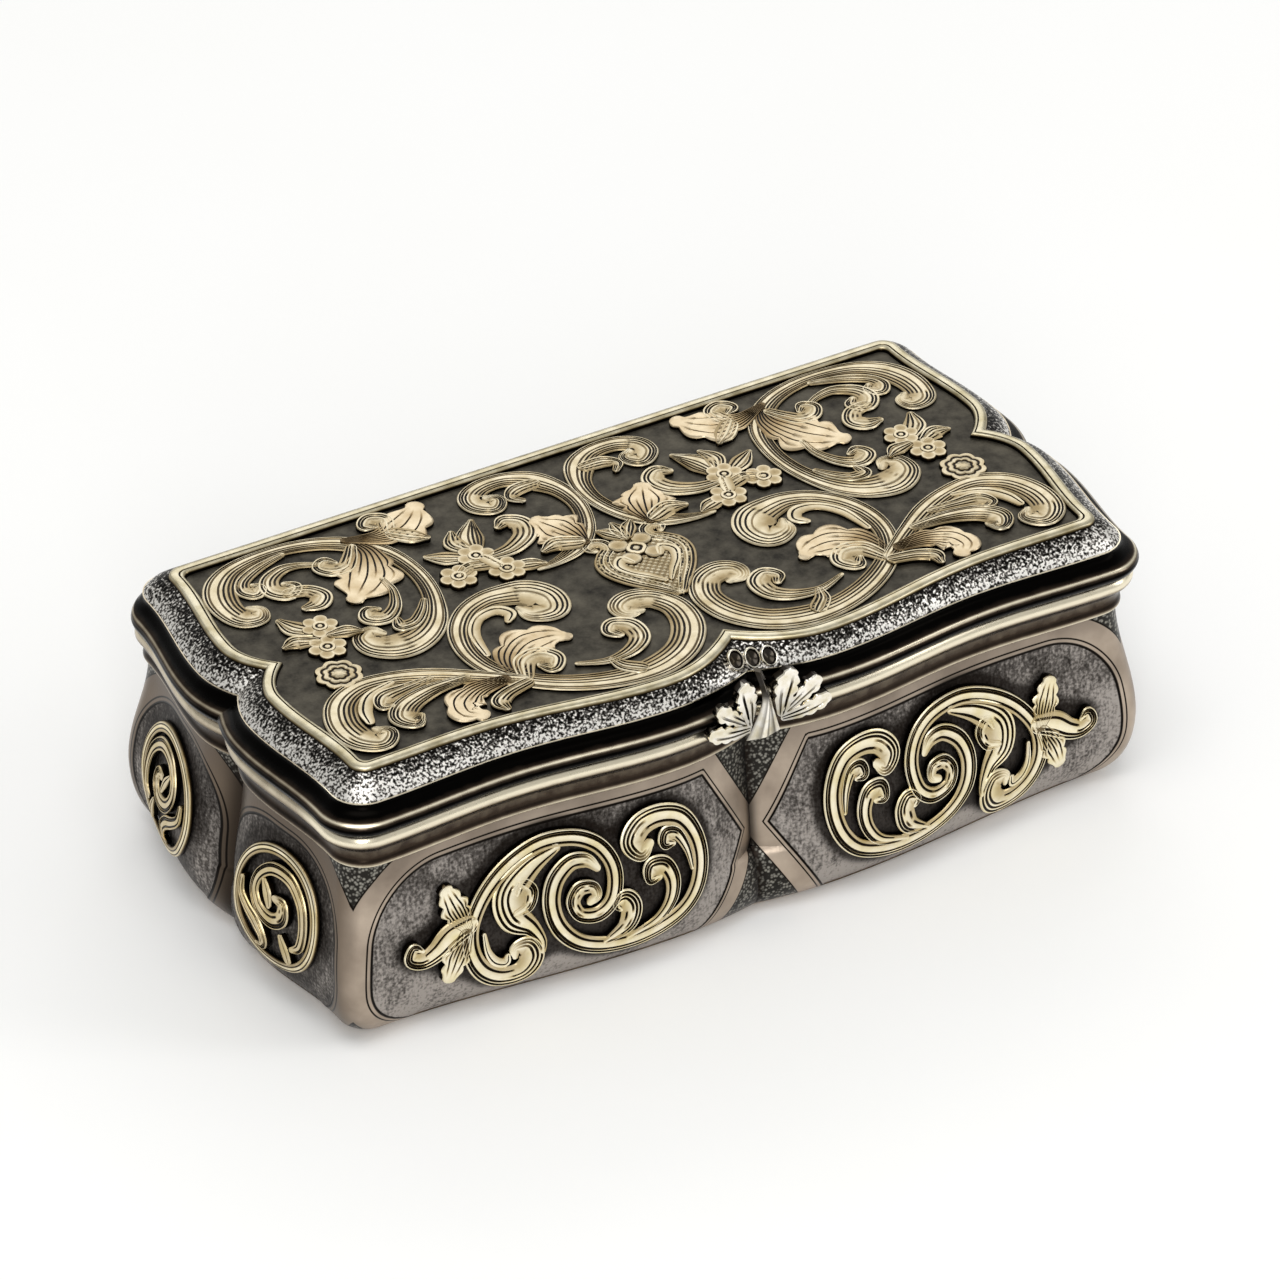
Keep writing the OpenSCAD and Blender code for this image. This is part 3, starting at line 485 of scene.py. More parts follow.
# Wall scrolls. Each half of the front and of the back carries one scroll of gilt sheet, sawn out, chased
# round and engraved along its length, and soldered on.
# Strokes are drawn as [along the wall from the cusp, up it, half width]
relief_h = 0.55
solder_gap = 0.12
lap = 0.012
panel_strokes = [
    [[12.5, 13.6, 0.5], [13.4, 13, 0.9], [14.1, 14.2, 1.2], [13, 15.6, 1.2], [11, 16, 1.1], [8.9, 15.2, 1.0],
     [7.6, 13, 0.9], [7.3, 10.4, 0.9], [8, 7.8, 0.9], [9.7, 5.7, 0.9], [12.2, 4.5, 1.0], [15, 4.1, 1.1],
     [18, 4.5, 1.0], [20.6, 5.8, 0.9], [22.4, 8, 0.9], [22.9, 10.4, 0.9], [22.2, 12.5, 0.9],
     [20.5, 13.8, 0.8], [18.9, 13.7, 0.7], [18, 12.8, 0.4]],
    [[15.2, 4.6, 0.4], [12.4, 5.6, 0.6], [10.9, 7.4, 0.7], [10.5, 9.4, 0.8], [11.2, 11.1, 0.9],
     [12.5, 11.3, 0.9], [12.8, 10.2, 0.6], [12, 10.2, 0.4]],
    [[17.6, 5, 0.4], [15.6, 6.1, 1.0], [15, 7.9, 1.1], [15.6, 9, 1.0], [16.5, 8.7, 0.5], [16.2, 8.2, 0.3]],
    [[8.4, 10, 0.2], [8.7, 12, 0.4], [9.5, 13.7, 0.6], [10.5, 14, 0.8], [10.8, 13.2, 0.7], [10.1, 13, 0.3]],
    [[21.6, 15.6, 0.4], [24.4, 14.5, 1.1], [26.8, 12.5, 1.6], [26.7, 10.3, 1.6], [25.2, 8.8, 0.9],
     [24.3, 7.2, 0.5], [24.2, 6, 0.3]],
    [[19.1, 9.8, 0.4], [18.4, 10.2, 0.5], [18.7, 11.1, 0.6], [20, 11.2, 0.7], [20.8, 10.1, 0.7],
     [20.2, 8.7, 0.7], [18.4, 8.3, 0.8], [16.9, 9.4, 0.8], [16.3, 11.5, 0.8], [16.6, 13.4, 0.8],
     [17.8, 15.1, 0.8], [20, 16.2, 0.8], [23.2, 16.4, 0.8], [26.6, 15.2, 0.8], [29.3, 13.2, 0.8],
     [31, 10.6, 0.8], [31.3, 8, 0.9], [30.3, 5.6, 1.0], [28.4, 4.1, 1.2], [26.3, 4, 1.4], [25.3, 5.4, 1.3],
     [25.7, 6.9, 1.1], [26.9, 7, 0.7], [27, 6.2, 0.3]],
    [[26.4, 10.6, 0.4], [25.2, 11, 0.6], [24.7, 12.3, 0.7], [25.5, 13.1, 0.6], [26, 12.4, 0.3]],
    [[29.9, 9.4, 0.2], [29.7, 7.6, 0.35], [29, 6.3, 0.5], [28, 5.8, 0.5], [27.8, 6.5, 0.3]],
    [[31.4, 10.8, 1.0], [33.2, 10.2, 1.3], [34.8, 9.1, 1.1], [36.2, 8.6, 0.9], [37.3, 9.1, 0.8],
     [37, 10, 0.7], [36.3, 9.7, 0.3]],
    [[31.6, 10.8, 0.7], [32.3, 12.5, 1.4], [32.9, 14.2, 1.0]],
    [[31.8, 9.8, 0.8], [32.8, 8, 1.35], [33.5, 6.2, 0.9]]]
both_sides = ((-1, "left"), (1, "right"))


def on_front(s, z, out):
    """A point on the front wall, s along it and z up it, standing out by a given amount."""
    b = wall_b(z)
    u = np.minimum(1, np.abs(s) / (frame_l / 2 + b - wall_corner(z)))
    return np.stack([s, -frame_w / 2 - b - lobe(u, front_peak, wall_front(z)) - out, z], -1)


def on_back(s, z, out):
    """A point on the straight back wall."""
    return np.stack([s, frame_w / 2 + wall_b(z) + out, z], -1)


def carried(path):
    """The path taken past both ends, so that a strip along it closes in half circles."""
    reach = np.array([0.4, 0.7, 0.9, 0.985])[:, None]

    def tip(last, before):
        ahead = (last - before)[:2] / np.hypot(*(last - before)[:2])
        return np.hstack([last[:2] + last[2] * reach * ahead, last[2] * np.sqrt(1 - reach ** 2)])

    return np.vstack([tip(path[0], path[1])[::-1], path, tip(path[-1], path[-2])])


def is_leaf(points):
    """A leaf is a short broad stroke."""
    return len(points) <= 5 and max(half for _, _, half in points) >= 1.25


def graver_lines(points, fine):
    """Lines across a strip, as [place, depth in runs, depth in curls], from its inner edge at -1 to 1."""
    half = max(half for _, _, half in points)
    if is_leaf(points):
        return [(t, 0.85, 0.85) for t in (0.74, 0.5, 0.25, 0, -0.25, -0.5, -0.74)]
    if half < 0.65:
        return [(0.3, 1, 1)]
    if not fine:
        return [(0.74, 1, 1), (0.42, 1, 1), (0.08, 0, 0.9), (-0.5, 1, 0)]
    if half < 1.05:
        return [(0.64, 1, 1), (0.34, 0.35, 1), (-0.12, 0.9, 0.2), (-0.55, 1, 0)]
    return [
        (0.8, 1, 1), (0.6, 0.6, 1), (0.36, 0, 1), (0.08, 0.7, 0.4), (-0.22, 1, 0), (-0.5, 0.8, 0),
        (-0.74, 1, 0)]


def strip(points, fine=False, lines=None):
    """A chased strip: places along the stroke and across it, height from ground to face, and engraving."""
    leaf = is_leaf(points) or lines is not None
    pen = 0.1 if is_leaf(points) else 0.12 if fine else 0.15
    broader = 1.22 if fine else 1.04
    lines = graver_lines(points, fine) if lines is None else lines
    path = carried(smooth(np.array(points) * [1, 1, broader], 14 if leaf else 9))
    half = path[:, 2]
    level = 0 * half
    ahead = np.gradient(path[:, :2], axis=0)
    ahead /= np.hypot(*ahead.T)[:, None]
    side = np.c_[-ahead[:, 1], ahead[:, 0]]
    length = np.concatenate([[0], np.cumsum(np.hypot(*np.diff(path[:, :2], axis=0).T))])
    share = length / length[-1]
    # Where the stroke bends tightly it is a curl, and its outer side is the side away from the bend
    heading = np.unwrap(np.arctan2(ahead[:, 1], ahead[:, 0]))
    outer = 1 if heading[-1] < heading[0] else -1
    bend = np.gradient(heading, length)
    bend = np.convolve(np.pad(bend, 2, mode="edge"), np.ones(5) / 5, mode="valid")
    curl = smoothstep(np.abs(bend) * half, 0.35, 0.6)
    fade = smoothstep(share, 0.01, 0.06) * (1 - smoothstep(share, 0.93, 0.99))
    width = np.minimum(pen / half, 0.16)
    # Columns across the strip, as [share of the half width, depth]: its edges, and four for each cut line
    edges = [(1, 1), (0.99, 0.95), (0.975, 0.1), (0.91, 0)]
    columns = [(level + t, level + cut) for t, cut in edges]
    lines = sorted(((outer * t, runs, curls) for t, runs, curls in lines), reverse=True)
    rests = [0.91, *[t for t, _, _ in lines], -0.91]
    for k, (t, runs, curls) in enumerate(lines):
        depth = fade * (runs + (curls - runs) * curl)
        if leaf:
            depth = depth * (1 - smoothstep(share, 0.4 + 0.25 * (k % 2), 0.65 + 0.25 * (k % 2)))
        columns.append((level + (rests[k] + t) / 2, level))
        columns += [(t + q * width, cut * depth) for q, cut in ((1, 0), (0.6, 1), (-0.6, 1), (-1, 0))]
    columns.append((level + (rests[-2] + rests[-1]) / 2, level))
    columns += [(level - t, level + cut) for t, cut in edges[::-1]]
    t, cut = np.array(columns).transpose(1, 2, 0)
    height = 1 - 0.25 * np.where(np.abs(t) < 0.9, cut, 0) - 0.3 * smoothstep(np.abs(t), 0.9, 1)
    height[:, [0, -1]] = -0.3
    # Painted shade darkens the inner side of a scroll, a leaf is darker towards its root, and a leaf's edge
    # is lobed
    shaded = (0.3 if fine else 0.25) * smoothstep(-outer * t, -0.1, 0.8)
    if leaf:
        shaded = 0.45 * (1 - smoothstep(share, 0.1, 0.65))[:, None]
        lobes = 0.32 * (np.abs(np.sin(4.5 * np.pi * share)) - 0.65) * smoothstep(share, 0.25, 0.45)
        t = t * (1 + lobes[:, None] * smoothstep(np.abs(t), 0.4, 1))
    cut = np.maximum(cut, shaded)
    # The inner side is drawn in where the strip would fold over itself
    tight = np.minimum(1, 0.92 / np.maximum(np.abs(bend) * half, 1e-6))[:, None]
    t = np.where(t * bend[:, None] > 0, t * tight, t)
    plan = path[:, None, :2] + side[:, None] * (t * half[:, None])[:, :, None]
    return plan, height, cut


def sooted_and_shaded(strokes, s, z):
    """Tarnish that no cloth reaches, with painted shade, on the wall: thick inside the loops of the strokes,
    thin outside.
    """
    blur = 1.4
    crowding = np.zeros(s.shape)
    for points in strokes:
        path = smooth(np.array(points)[:, :2], 5)
        steps = np.hypot(*np.gradient(path, axis=0).T)
        for (x, y), step in zip(path, steps):
            crowding += step * np.exp(-((s - x) ** 2 + (z - y) ** 2) / (2 * blur ** 2))
    return smoothstep(crowding, 0.8, 2.1)


def applied(face, strokes, sides=1, patina=0.0):
    """Strips chased in relief on one face of the wall, each a little lower than the next, under patina."""
    shells = []
    for k, points in enumerate(strokes):
        plan, height, cut = strip(points)
        out = solder_gap + height * (relief_h - 0.04 - lap * (len(strokes) - k))
        cut = np.maximum(cut, patina)
        shells.append(shell(face(sides * plan[..., 0], plan[..., 1], out), capped=True, cut=cut, rose=0.05))
    return shells


# Gilt sheet, dull on the lid and painted brighter on the wall, a painted light: pale gold, rosy on the
# leaves, flat and softly matt under a brown patina and painted shade, with black wax left in the engraved
# lines.
gilt_stops = {
    "chased_gilt": [(0.3, "#b0a584"), (0.66, "#dfd7be")],
    "painted_light_gilt": [(0.3, "#eddfb0"), (0.62, "#fff6dc")]}
gilts = {}
for name, gold_stops in gilt_stops.items():
    gilts[name], tree, surface, place = new_finish(name)
    cut = add(tree, "Attribute", {}, attribute_name="cut").outputs["Fac"]
    rose = add(tree, "Attribute", {}, attribute_name="rose").outputs["Fac"]
    wear = add(tree, "TexNoise", {"Vector": place, "Scale": 1 / (1.8 * MM), "Detail": 7}).outputs["Fac"]
    dents = add(tree, "TexNoise", {"Vector": place, "Scale": 1 / (0.5 * MM), "Detail": 2}).outputs["Fac"]
    pale_gold = add(tree, "ValToRGB", {"Fac": wear}, gold_stops).outputs["Color"]
    rose_gold = add(tree, "ValToRGB", {"Fac": wear}, [(0.3, "#bb9d78"), (0.66, "#e0c8a4")]).outputs["Color"]
    gold = add(tree, "Mix", {0: rose, 6: pale_gold, 7: rose_gold}, data_type="RGBA").outputs[2]
    waxes = [(0.0, "#ffffff"), (0.25, "#cbc1ae"), (0.5, "#7b6f5d"), (0.85, "#17120d")]
    wax = add(tree, "ValToRGB", {"Fac": cut}, waxes).outputs["Color"]
    gold = add(tree, "Mix", {0: 1.0, 6: gold, 7: wax}, data_type="RGBA", blend_type="MULTIPLY").outputs[2]
    rough = add(tree, "MapRange", {"Value": wear, "To Min": 0.26, "To Max": 0.42}).outputs["Result"]
    relief = add(tree, "Bump", {"Height": dents, "Strength": 0.2, "Distance": 0.06 * MM}).outputs["Normal"]
    add(tree, surface, {"Base Color": gold, "Metallic": 1.0, "Roughness": rough, "Normal": relief})

for face, name in ((on_front, "front"), (on_back, "back")):
    for sides, side in both_sides:
        build(
            f"{name}_{side}_gilt_scroll", applied(face, panel_strokes, sides),
            gilts["painted_light_gilt"], "box", "applied_gilt", f"{name}_{side}_scroll")

# End medallions. On each lobe of the ends a gilt hoop is soldered round a small scroll, made in the same
# way as the wall scrolls.
medal_s = 10.9
medal_z = 10.2
medal_r = 6
medal_patina = 0.2
# Across the hoop, as [out from its middle line, height, engraving]
hoop_profile = [
    (0.36, -0.3, 0.9), (0.35, 0.35, 0.7), (0.3, 0.75, 0.2), (0.2, 0.95, 0), (0.14, 0.8, 0.9),
    (0.08, 0.8, 0.9), (0.02, 1, 0), (-0.2, 1, 0.1), (-0.27, 0.8, 0.9), (-0.33, 0.8, 0.9),
    (-0.39, 0.95, 0.25), (-0.6, 0.9, 0.4), (-0.72, 0.35, 0.9), (-0.74, -0.3, 1)]
medal_strokes = [
    [[14.2, 7.6, 0.3], [15.2, 8.4, 0.5], [15.4, 10.4, 0.55], [14.6, 12.6, 0.6], [12.6, 14.2, 0.65],
     [10.2, 14.2, 0.65], [8.6, 12.9, 0.6], [8.2, 11.2, 0.6], [9.2, 9.7, 0.7], [11, 9.2, 0.8], [12.4, 10, 0.8],
     [12.3, 11.4, 0.6], [11.2, 11.6, 0.35]],
    [[6.2, 11.2, 0.3], [6.4, 9.8, 0.5], [7.6, 8.8, 0.6], [9, 8, 0.7], [10, 6.8, 0.6], [9.9, 5.7, 0.4],
     [9.1, 5.6, 0.25]],
    [[13.5, 6, 0.45], [13.2, 7, 0.5], [12.6, 8.2, 0.25]],
    [[9.4, 12.6, 0.25], [10.1, 11.6, 0.5], [10.6, 10.6, 0.3]]]


def on_end(s, z, out):
    """A point on the left end."""
    b = wall_b(z)
    u = np.minimum(1, np.abs(s) / (frame_w / 2 + b - wall_corner(z)))
    return np.stack([-frame_l / 2 - b - lobe(u, end_peak, wall_end(z)) - out, s, z], -1)


def on_right_end(s, z, out):
    """A point on the right end, which mirrors the left."""
    return on_end(s, z, out) * [-1, 1, 1]


def hoop(face, sides):
    """A low hoop with two lines cut round it."""
    turn = np.linspace(0, 2 * np.pi, 96, endpoint=False)[:, None]
    across, height, cut = np.array(hoop_profile).T
    s = sides * (medal_s + (medal_r + across) * np.cos(turn))
    z = medal_z + (medal_r + across) * np.sin(turn)
    return shell(face(s, z, solder_gap + 0.6 * relief_h * height + 0 * s), cut=cut, rose=0.1)


for face, name in ((on_end, "left"), (on_right_end, "right")):
    for sides, side in ((-1, "front"), (1, "back")):
        build(
            f"{name}_{side}_gilt_medallion",
            [hoop(face, sides), *applied(face, medal_strokes, sides, medal_patina)],
            gilts["painted_light_gilt"], "box", "applied_gilt", f"{name}_{side}_medallion")

# Tarnish and painted shade on the wall, inside the scrolls and round the medallions, and painted shade in the
# creases
hoop_turns = np.linspace(0, 2 * np.pi, 25)
hoop_line = [[medal_s + medal_r * math.cos(a), medal_z + medal_r * math.sin(a)] for a in hoop_turns]
heights = wall_z[:, None] + 0 * np.array(wall_s)
soot_and_shade_rows = np.maximum.reduce([
    sooted_and_shaded(panel_strokes, np.array(wall_s), heights), np.array(wall_crease_shade),
    0.6 * sooted_and_shaded([hoop_line, *medal_strokes], np.array(wall_end_s), heights)])
soot_and_shade_layer = np.zeros(len(wall.data.vertices), np.float32)
soot_and_shade_layer[:soot_and_shade_rows.size] = soot_and_shade_rows.ravel()
wall.data.attributes["tarnish"].data.foreach_set("value", soot_and_shade_layer)

# Hinge. Nine knuckles of drawn tube stand along the back, five on the body and four on the lid, each with
# a leaf soldered to its rim, and one steel wire runs through them.
# Drawn silver tube: grey, under a soft haze of tarnish. Drawn steel wire: cooler and more even.
hinge_metals = {}
for name, marks, detail, stops, smoothest, roughest in (
        ("drawn_silver_tube", 0.8, 4, [(0.3, "#5d554d"), (0.7, "#b1a598")], 0.28, 0.45),
        ("drawn_steel_wire", 0.3, 3, [(0.3, "#6b6a68"), (0.7, "#9a9896")], 0.3, 0.42)):
    hinge_metals[name], tree, surface, place = new_finish(name)
    haze = {"Vector": place, "Scale": 1 / (marks * MM), "Detail": detail}
    haze = add(tree, "TexNoise", haze).outputs["Fac"]
    metal = add(tree, "ValToRGB", {"Fac": haze}, stops).outputs["Color"]
    rough = add(tree, "MapRange", {"Value": haze, "To Min": smoothest, "To Max": roughest}).outputs["Result"]
    add(tree, surface, {"Base Color": metal, "Metallic": 1.0, "Roughness": rough})
for name, metal in (
        ("body_knuckles", "drawn_silver_tube"), ("lid_knuckles", "drawn_silver_tube"),
        ("hinge_pin", "drawn_steel_wire")):
    hinge_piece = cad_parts[name]
    hinge_piece.data.materials.clear()
    hinge_piece.data.materials.append(hinge_metals[metal])

# Lid side. A second drawn moulding, a bead under a hollow, is soldered round the edge of the lid. It is
# painted almost black, a painted dark reflection over tarnish, with painted highlights on the bead and the
# top edge.
lid_foot, lid_side_top = span("lid_rim")
# Tone is painted light: painted highlights on the bead and along the top edge, black elsewhere
lid_profile = [
    (3.3, 0, 0), (3.75, 0.2, 0), (3.95, 0.65, 0), (3.9, 0.9, 0.1), (3.8, 1.15, 0.45), (3.62, 1.3, 1),
    (3.4, 1.45, 0.3), (2.7, 1.7, 0), (2.25, 2.05, 0), (2.1, 2.45, 0), (2.28, 2.58, 0.6), (2.3, 2.75, 1)]
build(
    "lid_moulding", [moulding(lid_profile, lid_foot, [(1.2, 2.75), (1.2, 0)])],
    polished_silver, "lid", "dark_silver", "lid_rim")

# Lid top. One plate of silver is turned down at the edge into a bevel, which is punched all over with a
# fine matting tool. Its inner slope is gilt, and the frame and the plaque lie on its flat deck.
bevel_top = span("lid_shell")[1]
deck_under = span("lid_lining")[1]

# Stippled silver: bright grains between black pits, with painted light: whiter towards the lower edge and the
# front corners, darker at the top.
# The grain is coarser than a real matting tool leaves it, so that it shows.
stippled_silver, tree, surface, place = new_finish("stippled_silver")
tone = add(tree, "Attribute", {}, attribute_name="tone").outputs["Fac"]
grain = add(tree, "TexNoise", {"Vector": place, "Scale": 1 / (0.26 * MM), "Detail": 1}).outputs["Fac"]
patch = add(tree, "TexNoise", {"Vector": place, "Scale": 1 / (4 * MM), "Detail": 3}).outputs["Fac"]
wear_and_light = add(tree, "Math", {0: patch, 1: tone}, operation="ADD").outputs["Value"]
wear_and_light = {"Value": wear_and_light, "From Min": 0.3, "From Max": 1.5, "To Min": -0.09, "To Max": 0.09}
wear_and_light = add(tree, "MapRange", wear_and_light).outputs["Result"]
value = add(tree, "Math", {0: grain, 1: wear_and_light}, operation="ADD").outputs["Value"]
grey = [(0.38, "#12110f"), (0.48, "#565350"), (0.55, "#a29e98"), (0.62, "#f4f1ec")]
metal = add(tree, "ValToRGB", {"Fac": value}, grey).outputs["Color"]
gilding = add(tree, "Attribute", {}, attribute_name="gilding").outputs["Fac"]
metal = add(tree, "Mix", {0: gilding, 6: metal, 7: linear("#c9a25c")}, data_type="RGBA").outputs[2]
relief = add(tree, "Bump", {"Height": grain, "Strength": 0.5, "Distance": 0.06 * MM}).outputs["Normal"]
add(tree, surface, {"Base Color": metal, "Metallic": 1.0, "Roughness": 0.42, "Normal": relief})

# Tone is painted light: dark at the top of the bevel, bright towards its lower edge
bevel_profile = [
    (2.2, lid_side_top, 0.1), (2.14, lid_side_top + 0.1, 0.9), (1.8, lid_side_top + 0.5, 0.9),
    (1.45, lid_side_top + 0.85, 0.5), (0.8, lid_side_top + 1.35, 0.0), (0.05, bevel_top, -0.3)]
inner_slope = [(0.5, deck_under, 0.2), (1, lid_side_top, 0.2)]
bevel_rows = [*inner_slope, *smooth(bevel_profile, 4), (0.05, bevel_top - 0.4, 0)]
bevel_rings = np.array([rim_ring(b, z) for b, z, _ in bevel_rows])
from_corner = np.hypot(np.abs(bevel_rings[..., 0]) - frame_l / 2, bevel_rings[..., 1] + frame_w / 2)
gilt_rows = (np.arange(len(bevel_rows)) < len(inner_slope))[:, None] * 1.0
# Painted highlight at the front corners, added to the painted tone
painted_bevel_light = np.array([[tone] for _, _, tone in bevel_rows]) + 0.5 * np.exp(-(from_corner / 4) ** 2)
build(
    "lid_bevel", [shell(bevel_rings, capped=True, tone=painted_bevel_light, gilding=gilt_rows)],
    stippled_silver, "lid", "stippled_silver", "lid_shell")

# Lid lining. A thin plate of sheet silver covers the underside of the lid inside the bezel. It is cut to the
# outline, fire-gilt like the rest of the inside, and soldered under the deck.
lining_low = span("lid_lining")[0]
lining_profile = [(0.25, lining_low), (0.4, lining_low + 0.15), (0.4, deck_under)]
build(
    "lid_lining_plate", [shell([rim_ring(b, z) for b, z in lining_profile], capped=True)],
    fire_gilt, "lid", "lining_gilt", "lid_lining")

# Plaque. A plate of sheet silver, the ground of the ornament, is sawn to the outline, blackened with sulphur,
# and soldered on the deck inside the frame.
# Blackened silver: a matt, cloudy black that turns grey where it has been handled.
blackened, tree, surface, place = new_finish("blackened_silver")
bloom = {"Vector": place, "Scale": 1 / (2.5 * MM), "Detail": 9, "Roughness": 0.65}
bloom = add(tree, "TexNoise", bloom).outputs["Fac"]
grain = add(tree, "TexNoise", {"Vector": place, "Scale": 1 / (0.25 * MM), "Detail": 2}).outputs["Fac"]
black = add(tree, "ValToRGB", {"Fac": bloom}, [(0.32, "#282520"), (0.68, "#656055")]).outputs["Color"]
relief = add(tree, "Bump", {"Height": grain, "Strength": 0.2, "Distance": 0.03 * MM}).outputs["Normal"]
rough = add(tree, "MapRange", {"Value": bloom, "To Min": 0.45, "To Max": 0.62}).outputs["Result"]
add(tree, surface, {"Base Color": black, "Metallic": 1.0, "Roughness": rough, "Normal": relief})

frame_t = 1.4
plaque_b = -frame_t - 0.05
deck, plaque_top = span("lid_plaque")
build(
    "plaque_ground", [shell([rim_ring(plaque_b, deck), rim_ring(plaque_b, plaque_top)], capped=True)],
    blackened, "lid", "blackened_ground", "lid_plaque")

# Gilt frame. A flat band of gilt silver is bent round the plaque and soldered on the deck. Its edges are
# soft, and one line is cut near the inner one.
frame_foot, frame_top = span("lid_frame")
frame_h = frame_top - frame_foot
# Across the frame, as [out, below its top, engraving]
frame_profile = [
    (0, frame_h, 1), (0, 0.4, 1), (-0.04, 0.25, 0.5), (-0.12, 0.12, 0), (-0.3, 0.02, 0), (-0.6, 0, 0),
    (-0.88, 0.01, 0), (-0.93, 0.1, 1), (-1, 0.1, 1), (-1.06, 0.02, 0), (-1.2, 0.04, 0), (-1.32, 0.15, 0.2),
    (-1.38, 0.3, 1), (-frame_t, 0.4, 1), (-frame_t, frame_h, 1)]
frame_rings = [rim_ring(b, frame_top - below) for b, below, _ in frame_profile]
frame_cut = np.array([[cut] for _, _, cut in frame_profile])
build(
    "gilt_frame", [shell(frame_rings, cut=frame_cut, rose=0.0)],
    gilts["chased_gilt"], "lid", "applied_gilt", "lid_frame")

# Lid scrolls. Gilt sheet is sawn into scrolls and leaves, chased, engraved and soldered on the plaque: a loop
# in the back corner, a crest by the back edge and a long front scroll. The right half mirrors the left.
scroll_t = 0.45
corner_strokes = [
    [[-36.2, 9.4, 0.4], [-35.6, 8.7, 0.7], [-36.2, 7.8, 1.0], [-37.5, 8.3, 1.2], [-38, 10.2, 1.3],
     [-37.7, 12.4, 1.4], [-36.6, 14.4, 1.3], [-34.6, 15.9, 1.0], [-31.6, 16.6, 0.8], [-28.2, 16.5, 0.8],
     [-25, 15.5, 0.9], [-22.5, 13.7, 1.0], [-20.7, 11.2, 0.9], [-19.9, 8.2, 0.8], [-19.9, 5, 0.8],
     [-20.7, 1.9, 0.9], [-22.3, -0.9, 1.2], [-24.5, -2.6, 1.5], [-27, -3, 1.7], [-29, -1.9, 1.4],
     [-29.3, -0.3, 1.0], [-28.2, 0.4, 0.7], [-27.5, -0.4, 0.4]],
    [[-29.4, 15.8, 0.3], [-32.3, 15, 0.5], [-34.6, 13.7, 0.6], [-35.3, 12.3, 0.7], [-34.6, 11.4, 0.8],
     [-33.8, 12, 0.6], [-34.1, 12.6, 0.3]],
    [[-27.2, 12.6, 0.3], [-28.8, 13.4, 0.4], [-30.6, 13.6, 0.6], [-32.4, 12.6, 0.8], [-33, 11, 0.9],
     [-32, 9.8, 0.9], [-30.9, 10.5, 0.7], [-31.4, 11.2, 0.4]],
    [[-31.7, 9.7, 0.7], [-30.2, 9.3, 0.8], [-29.4, 7.9, 0.9], [-30.3, 6.9, 0.9], [-31.6, 6.8, 0.4]],
    [[-22.8, 14.4, 0.3], [-22.5, 11.9, 1.4], [-23.9, 8.9, 2.6], [-25.6, 7, 2.0], [-26.8, 5.9, 0.8]],
    [[-23.2, 13.4, 0.5], [-24.2, 11.9, 0.7], [-25.2, 10.9, 0.8], [-26.6, 11, 0.8], [-27.3, 12, 0.7],
     [-26.5, 12.7, 0.6], [-25.8, 12, 0.3]],
    [[-23.2, 7.2, 0.3], [-23.3, 5, 0.4], [-24.4, 2.7, 0.6], [-26, 1.6, 0.8], [-27.3, 2.3, 0.9],
     [-26.9, 3.4, 0.6], [-26, 3.1, 0.3]],
    [[-21.6, 2.2, 0.3], [-22.6, 0.8, 0.5], [-24, -0.4, 0.6], [-25.4, -0.4, 0.7], [-25.3, 0.6, 0.4]],
    [[-23.2, 14.8, 0.3], [-20, 13.6, 1.0], [-17.6, 13.9, 2.2], [-15.9, 15, 1.8], [-14.8, 16.2, 0.9]],
    [[-18.8, 14.4, 0.7], [-18.3, 16, 0.8], [-19.4, 16.7, 0.8], [-20.3, 15.9, 0.7], [-19.6, 15.3, 0.3]],
    [[-18.4, 13.2, 0.9], [-17.2, 12, 0.9], [-16.2, 11.2, 0.3]]]
crest_strokes = [
    [[-8.1, 14.4, 0.4], [-7.3, 13.6, 0.8], [-8.2, 12.7, 1.0], [-9.4, 13.8, 1.1], [-9.1, 15.3, 1.1],
     [-7.3, 16.3, 1.0], [-4.7, 16.2, 1.0], [-2.6, 14.7, 1.3], [-1.2, 12.2, 1.0], [-0.9, 9.3, 0.8],
     [-1.6, 6.5, 0.8], [-3, 4.2, 0.9], [-5, 2.5, 0.8], [-7.4, 1.6, 0.5], [-9.6, 1.3, 0.2]],
    [[-3, 14.2, 0.7], [-4.8, 14.1, 0.8], [-5.9, 13.2, 0.5], [-5.2, 12.2, 0.3]],
    [[-3.6, 3, 0.4], [-4.2, 4.8, 1.7], [-4.9, 6.5, 2.3], [-5.6, 7.9, 1.0]],
    [[-4.6, 3.4, 0.9], [-6.2, 4, 1.0], [-7.6, 3.6, 0.4]]]
